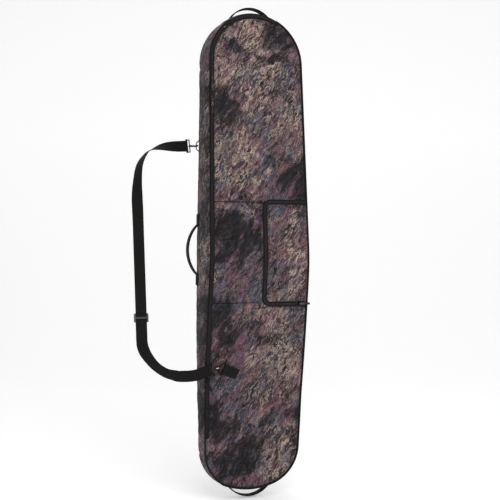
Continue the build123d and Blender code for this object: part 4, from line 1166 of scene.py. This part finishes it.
def handle(name, middle_s, hinge, rise, foot, y):
    """A carry handle in one length: a foot on the bag's edge, an arch, the other foot. hinge is half the
    arch's span and how far its ends stand off the edge."""
    half, stand = hinge
    centre, out = edge(middle_s)
    along = np.array((out[1], -out[0]))
    radius = (half**2 + rise**2) / (2 * rise)
    reach = math.asin(half / radius)
    turn = np.linspace(-reach, reach, 25)[:, None]
    arch = centre + along * radius * np.sin(turn) + out * (stand + radius * (np.cos(turn) - math.cos(reach)))
    q = np.linspace(foot, half + 10 * MM, 8)
    low, low_out = edge(middle_s - q)
    high, high_out = edge(middle_s + q)
    plan = np.concatenate([low + low_out * FOOT_LIFT, arch, (high + high_out * FOOT_LIFT)[::-1]])
    line = np.insert(curve_through(plan, 130), 1, y, axis=1)
    across = np.tile((0.0, 1.0, 0.0), (130, 1))
    piece = strip(name + "_webbing", line, across, HANDLE_W, HANDLE_T, WEBBING)
    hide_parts(name, name + "_feet")
    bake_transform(piece)
    rows = []
    for way in (-1, 1):
        for shift in (-9.5 * MM, 9.5 * MM):
            q = np.linspace(foot - 3 * MM, half + 14 * MM, 12)
            rows.append(foot_row(middle_s + way * q, y + shift))
        for turn_way in (-1, 1):
            q = np.linspace(foot - 4 * MM, half + 16 * MM, 12)
            rows.append(foot_row(middle_s + way * q, y + turn_way * np.linspace(-9 * MM, 9 * MM, 12)))
    thread(name + "_thread", rows)


def foot_row(s, y):
    """Stitches over a handle's foot."""
    point, out = edge(s)
    raised = point + out * (FOOT_LIFT + HANDLE_T / 2 + 0.05 * MM)
    line = np.stack([raised[:, 0], y + 0 * s, raised[:, 1]], 1)
    normal = np.array((out[:, 0].mean(), 0, out[:, 1].mean()))
    return stitches(line, normal, gap=3.8 * MM, length=2.6 * MM)


handle("top_handle", 0.0, (69 * MM, -4.4 * MM), 32 * MM, 107 * MM, -49 * MM)
handle("bottom_handle", HALF_GIRTH, (66 * MM, 0.5 * MM), 27 * MM, 104 * MM, -34 * MM)
handle("side_handle", -arc_at(z=10 * MM), (78 * MM, 11.5 * MM), 27 * MM, 124 * MM, -23 * MM)


# ---- d-ring tabs -------------------------------------------------------------------------------
TAB_W = 35.5 * MM
EYE_R = 2.95 * MM


def ring_tab(name, node, bar, along, way, out, length):
    """Doubled webbing round a D-ring's straight bar, sewn down with a box and a cross."""
    def at(reach, height):
        return bar + way * reach * MM + out * height * MM

    r = EYE_R / MM
    turn = np.linspace(-math.pi / 2, math.pi / 2, 9)
    plan = [at(length, -r), at(length * 0.6, -r), at(6, -r)]
    plan += [at(-r * math.cos(q), r * math.sin(q)) for q in turn]
    top = -r + 1.75
    plan += [at(5, r * 0.62), at(10, -0.7), at(14, top), at(length * 0.6, top), at(length - 1, top)]
    line = curve_through(plan, 120)
    piece = strip(name, line, np.tile(along, (120, 1)), TAB_W, 1.7 * MM, WEBBING)
    stand_in(piece, node)
    side = TAB_W / MM / 2 - 4
    high = top + 0.87
    corners = [(15, -side), (length - 4, -side), (length - 4, side), (15, side)]
    order = ((0, 1), (1, 2), (2, 3), (3, 0), (0, 2), (1, 3))
    rows = []
    for a, b in order:
        share = np.linspace(0, 1, 8)[:, None]
        ends = [at(corners[i][0], high) + along * corners[i][1] * MM for i in (a, b)]
        rows.append(stitches(ends[0] + share * (ends[1] - ends[0]), out, gap=3.8 * MM, length=2.7 * MM))
    thread(name + "_thread", rows)


DOWN = unit((0, 0.1407, -1))
LOW_WAY = math.cos(math.radians(22)) * np.array((1.0, 0, 0)) + math.sin(math.radians(22)) * DOWN
LOW_OUT = unit(np.cross(DOWN, (1.0, 0, 0)))
LOW_OUT = LOW_OUT * -np.sign(LOW_OUT[1])
ring_tab("dring_tab_low", "dring_tab_lower", np.array((-116.6, -105.33, -400.6)) * MM,
         unit(np.cross(LOW_OUT, LOW_WAY)), LOW_WAY, LOW_OUT, 56)
ring_tab("dring_tab_high", "dring_tab_upper", np.array((-161, 2.4, 373)) * MM,
         np.array((0, 0, 1.0)), np.array((1.0, 0, 0)), np.array((0, 1.0, 0)), 34)


# ---- strap -------------------------------------------------------------------------------------
PIN_LOW = np.array((-137.013, -112.718, -393.310)) * MM
STRAP_UP = np.array((-0.05993, 0.14274, 0.98794))
STRAP_OUT = np.array((-0.99820, -0.00857, -0.05932))
STRAP_FACE = np.array((0, -0.98972, 0.14300))
STRAP_W = 38 * MM
STRAP_T = 2.0 * MM
LAYER = 1.35 * MM
BAR_R = 3.4 * MM
# out, up (mm) and twist (degrees) from the upper frame's bar to the lower one's
STRAP_LINE = (
    (34.6, 775.7, 0), (80, 775, 8), (120, 773, 38), (162, 763, 80), (180, 754, 82), (208, 714, 66),
    (222, 655, 50), (228.7, 600, 26), (231.5, 556, 9), (234.7, 505, 0), (236.2, 482, 0), (241.4, 400, 0),
    (247.7, 300, 0), (254.5, 193, 0), (257.5, 146, 0), (259.4, 115, 0), (257.5, 93, 14), (247, 66, 40),
    (222, 30, 52), (190, 4, 48), (160, -8, 32), (138, -14, 16), (86, -16, 0), (34.4, -3.6, 0),
)


def strap():
    """The shoulder strap in one length: sewn end, round the upper bar, down to the lower bar and back up to
    the adjuster."""
    plan = np.array(STRAP_LINE, float)
    flat = curve_through(np.column_stack([plan[:, :2] * MM, np.radians(plan[:, 2]) * MM]), 420)
    centre = PIN_LOW + flat[:, :1] * STRAP_OUT + flat[:, 1:2] * STRAP_UP
    twist = (flat[:, 2] / MM)[:, None]
    way = tangents(centre)
    side = units(np.cross(STRAP_FACE, way))
    across = side * np.cos(twist) + np.cross(way, side) * np.sin(twist)
    normal = np.cross(way, across)
    run = distance_along(centre)
    near_end = np.minimum(run, run[-1] - run)
    off = (LAYER + (BAR_R - LAYER) * np.exp(-((near_end / (9 * MM)) ** 2)))[:, None]
    front = centre + normal * off
    behind = centre - normal * off

    def wrap(i, out_way):
        turn = np.linspace(0, math.pi, 11)[1:-1, None]
        return centre[i] + BAR_R * (normal[i] * np.cos(turn) - out_way * np.sin(turn))

    sewn = np.nonzero(run < 40 * MM)[0]
    adjuster_at = np.argmin(abs(flat[:, 1] - 0.193) + abs(flat[:, 0] - 0.2545))
    back = np.arange(adjuster_at, len(run))
    first_wrap = wrap(0, way[0])[::-1]
    last_wrap = wrap(-1, -way[-1])
    line = np.concatenate([behind[sewn][::-1], first_wrap, front, last_wrap, behind[back][::-1]])
    turned = [np.tile(across[i], (9, 1)) for i in (0, -1)]
    width_way = np.concatenate([across[sewn][::-1], turned[0], across, turned[1], across[back][::-1]])
    piece = strip("shoulder_strap", line, width_way, STRAP_W, STRAP_T, WEBBING)
    stand_in(piece, "strap_main", "strap_return", body="strap")
    rows = []
    here = np.nonzero((run > 10 * MM) & (run < 36 * MM))[0]
    for v in (-15.5 * MM, 15.5 * MM):
        rows.append(stitches(front[here] + across[here] * v + normal[here] * STRAP_T * 0.52, normal[here[0]]))
    for i in (here[2], here[-3]):
        share = np.linspace(-15.5 * MM, 15.5 * MM, 8)[:, None]
        rows.append(stitches(front[i] + across[i] * share + normal[i] * STRAP_T * 0.52, normal[i]))
    thread("strap_thread", rows, body="strap")


strap()


def board_straps():
    """Two straps across the inside of the back, that hold the board down."""
    for label, z in (("board_strap_high", 0.260), ("board_strap_low", -0.260)):
        x = np.linspace(-0.150, 0.150, 60)
        wave = 0.15 * MM * np.sin(x / 0.021)
        line = np.stack([x, -15.35 * MM + wave, z + 0 * x], 1)
        piece = strip(label, line, np.tile((0, 0, 1.0), (60, 1)), 38 * MM, 1.5 * MM, WEBBING)
        stand_in(piece, "board_straps")


board_straps()


# ---- hardware ----------------------------------------------------------------------------------
HARDWARE = (
    (PLATED, ("hook_upper", "hook_lower", "dring_upper", "dring_lower", "frame_upper", "frame_lower")),
    (BRIGHT, ("gate_upper", "gate_lower", "gate_pin_upper", "gate_pin_lower")),
    (SLIDER, ("slider_upper", "slider_lower", "pull_upper", "pull_lower", "pocket_slider")),
    (CORD, ("pull_cord_upper", "pull_cord_lower", "pocket_cord")),
    (BUCKLE, ("adjuster", "pocket_pull")),
)
for material, names in HARDWARE:
    for name in names:
        mesh = bpy.data.objects[name].data
        mesh.materials.clear()
        mesh.materials.append(material)


# ---- rows of stitches --------------------------------------------------------------------------
def sew(name, pieces, rows):
    """Rows of stitches on top of the pieces' outer surface; each row comes with its direction of sight."""
    skins = [(coords(piece.data), [list(face.vertices) for face in piece.data.polygons]) for piece in pieces]
    verts, faces = gather(skins)
    tree = BVHTree.FromPolygons([Vector(v) for v in verts], faces)
    sewn = []
    for line, way in rows:
        landed = drop(tree, line, way)
        if len(landed) > 3:
            sewn.append(stitches(landed, -np.atleast_2d(way).mean(0)))
    verts, faces = gather(sewn)
    return make(name, verts, faces, THREAD)


def straight(x0, x1, z):
    """A level row on the front."""
    x = np.linspace(x0, x1, 60)
    return np.stack([x, -depth(z + 0 * x) - 12 * MM, z + 0 * x], 1)


INTO = np.array((0.0, 1.0, 0.0))
right_of_zip = np.arange(ZIP_HIGH + 10 * MM, HALF_GIRTH, 5 * MM)
left_of_zip = np.arange(-HALF_GIRTH, ZIP_LOW - 12 * MM, 5 * MM)
front_lines = [
    on_front(ZIP_S, 21.5 * MM, 12 * MM),
    on_front(right_of_zip, 10.0 * MM, 12 * MM),
    on_front(left_of_zip, 10.0 * MM, 12 * MM),
    straight(-0.158, 0.004, SEAM_UP + 4.6 * MM),
    straight(-0.158, 0.004, SEAM_UP - 4.6 * MM),
    straight(-0.160, -0.008, SEAM_LOW + 4.6 * MM),
    straight(-0.160, -0.008, SEAM_LOW - 4.6 * MM),
    straight(0.008, 0.170, SEAM_LOW - SEAM_DROP - 4.6 * MM),
]
fold(sew("front_stitching", (upper, middle, lower), [(line, INTO) for line in front_lines]))
pocket_bend(sew("pocket_stitching", (flap,), [(on_pocket(POCKET_S, 20.0 * MM, 16 * MM), INTO)]))


def wall_rows():
    """Rows along the front and back edges of the side wall."""
    rows = []
    for share, back in ((True, 0), (False, 17 * MM)):
        for begin in np.arange(-HALF_GIRTH, HALF_GIRTH, 0.21):
            s = np.arange(begin, min(begin + 0.2115, HALF_GIRTH), 4 * MM)
            point, out = edge(s)
            y = -(depth(point[:, 1]) - 8 * MM) if share else np.full(len(s), -back)
            line = np.stack([point[:, 0] + 0.012 * out[:, 0], y, point[:, 1] + 0.012 * out[:, 1]], 1)
            inward = np.stack([-out[:, 0], 0 * y, -out[:, 1]], 1)
            rows.append((line, inward))
    return rows


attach(sew("wall_stitching", (left_wall, right_wall, top_wall, foot_wall), wall_rows()), "shell")
OUT_OF_BACK = np.array((0.0, -1.0, 0.0))
back_rows = []
for inset in (65.5 * MM, 15.0 * MM):
    line = on_front(ALL_S, inset, 0.0)
    line[:, 1] = 0.010
    back_rows.append((line, OUT_OF_BACK))
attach(sew("back_stitching", (back, patch), back_rows), "shell")


# ---- stage -------------------------------------------------------------------------------------
VIEW = unit((0.358, 0.934, 0))
RIGHT_WAY = np.array((VIEW[1], -VIEW[0], 0))
FLOOR_Z = -0.8645


def backdrop():
    """A pale floor that rises seamlessly behind the bag."""
    turn = np.linspace(0, math.pi / 2, 24)
    profile = [(-7.0, 0.0), (-3.0, 0.0), (0.0, 0.0), (2.4, 0.0)]
    profile += [(2.4 + 1.8 * math.sin(q), 1.8 * (1 - math.cos(q))) for q in turn[1:]]
    profile.append((4.2, 7.0))
    rows = [VIEW * d + RIGHT_WAY * w + (0, 0, FLOOR_Z + h) for d, h in profile for w in (-8.0, 8.0)]
    quads = [(2 * i, 2 * i + 1, 2 * i + 3, 2 * i + 2) for i in range(len(profile) - 1)]
    finish = Finish("backdrop_paper", roughness=0.85, specular=0.2)
    finish.set("Base Color", (0.90, 0.90, 0.90, 1))
    finish.set("Emission Color", (1, 1, 1, 1))
    finish.set("Emission Strength", 0.22)
    obj = make("backdrop", rows, quads, finish.material)


def area_light(name, place, size, power):
    """A soft square light aimed at the bag's middle."""
    lamp = bpy.data.lights.new(name, "AREA")
    lamp.shape = "SQUARE"
    lamp.size = size
    lamp.energy = power
    obj = bpy.data.objects.new(name, lamp)
    obj.location = place
    obj.rotation_euler = (-Vector(place)).to_track_quat("-Z", "Y").to_euler()
    bpy.context.scene.collection.objects.link(obj)


backdrop()
area_light("key_light", VIEW * -2.6 + RIGHT_WAY * 0.5 + (0, 0, 2.2), 2.2, 52)
area_light("fill_light", VIEW * -2.2 + RIGHT_WAY * 2.4 + (0, 0, 0.8), 2.4, 20)
area_light("top_light", VIEW * 0.6 + (0, 0, 3.0), 2.0, 16)
world = bpy.data.worlds.new("studio")
world.use_nodes = True
world.node_tree.nodes["Background"].inputs["Color"].default_value = (1, 1, 1, 1)
world.node_tree.nodes["Background"].inputs["Strength"].default_value = 0.58
bpy.context.scene.world = world
bpy.context.scene.view_settings.view_transform = "Standard"

camera_data = bpy.data.cameras.new("photo_camera")
camera_data.lens = 67.457
camera_data.sensor_width = 36
camera = bpy.data.objects.new("photo_camera", camera_data)
camera.location = (-1.1815, -3.133, 0.0086)
camera.rotation_euler = Vector(VIEW).to_track_quat("-Z", "Y").to_euler()
bpy.context.scene.collection.objects.link(camera)
bpy.context.scene.camera = camera
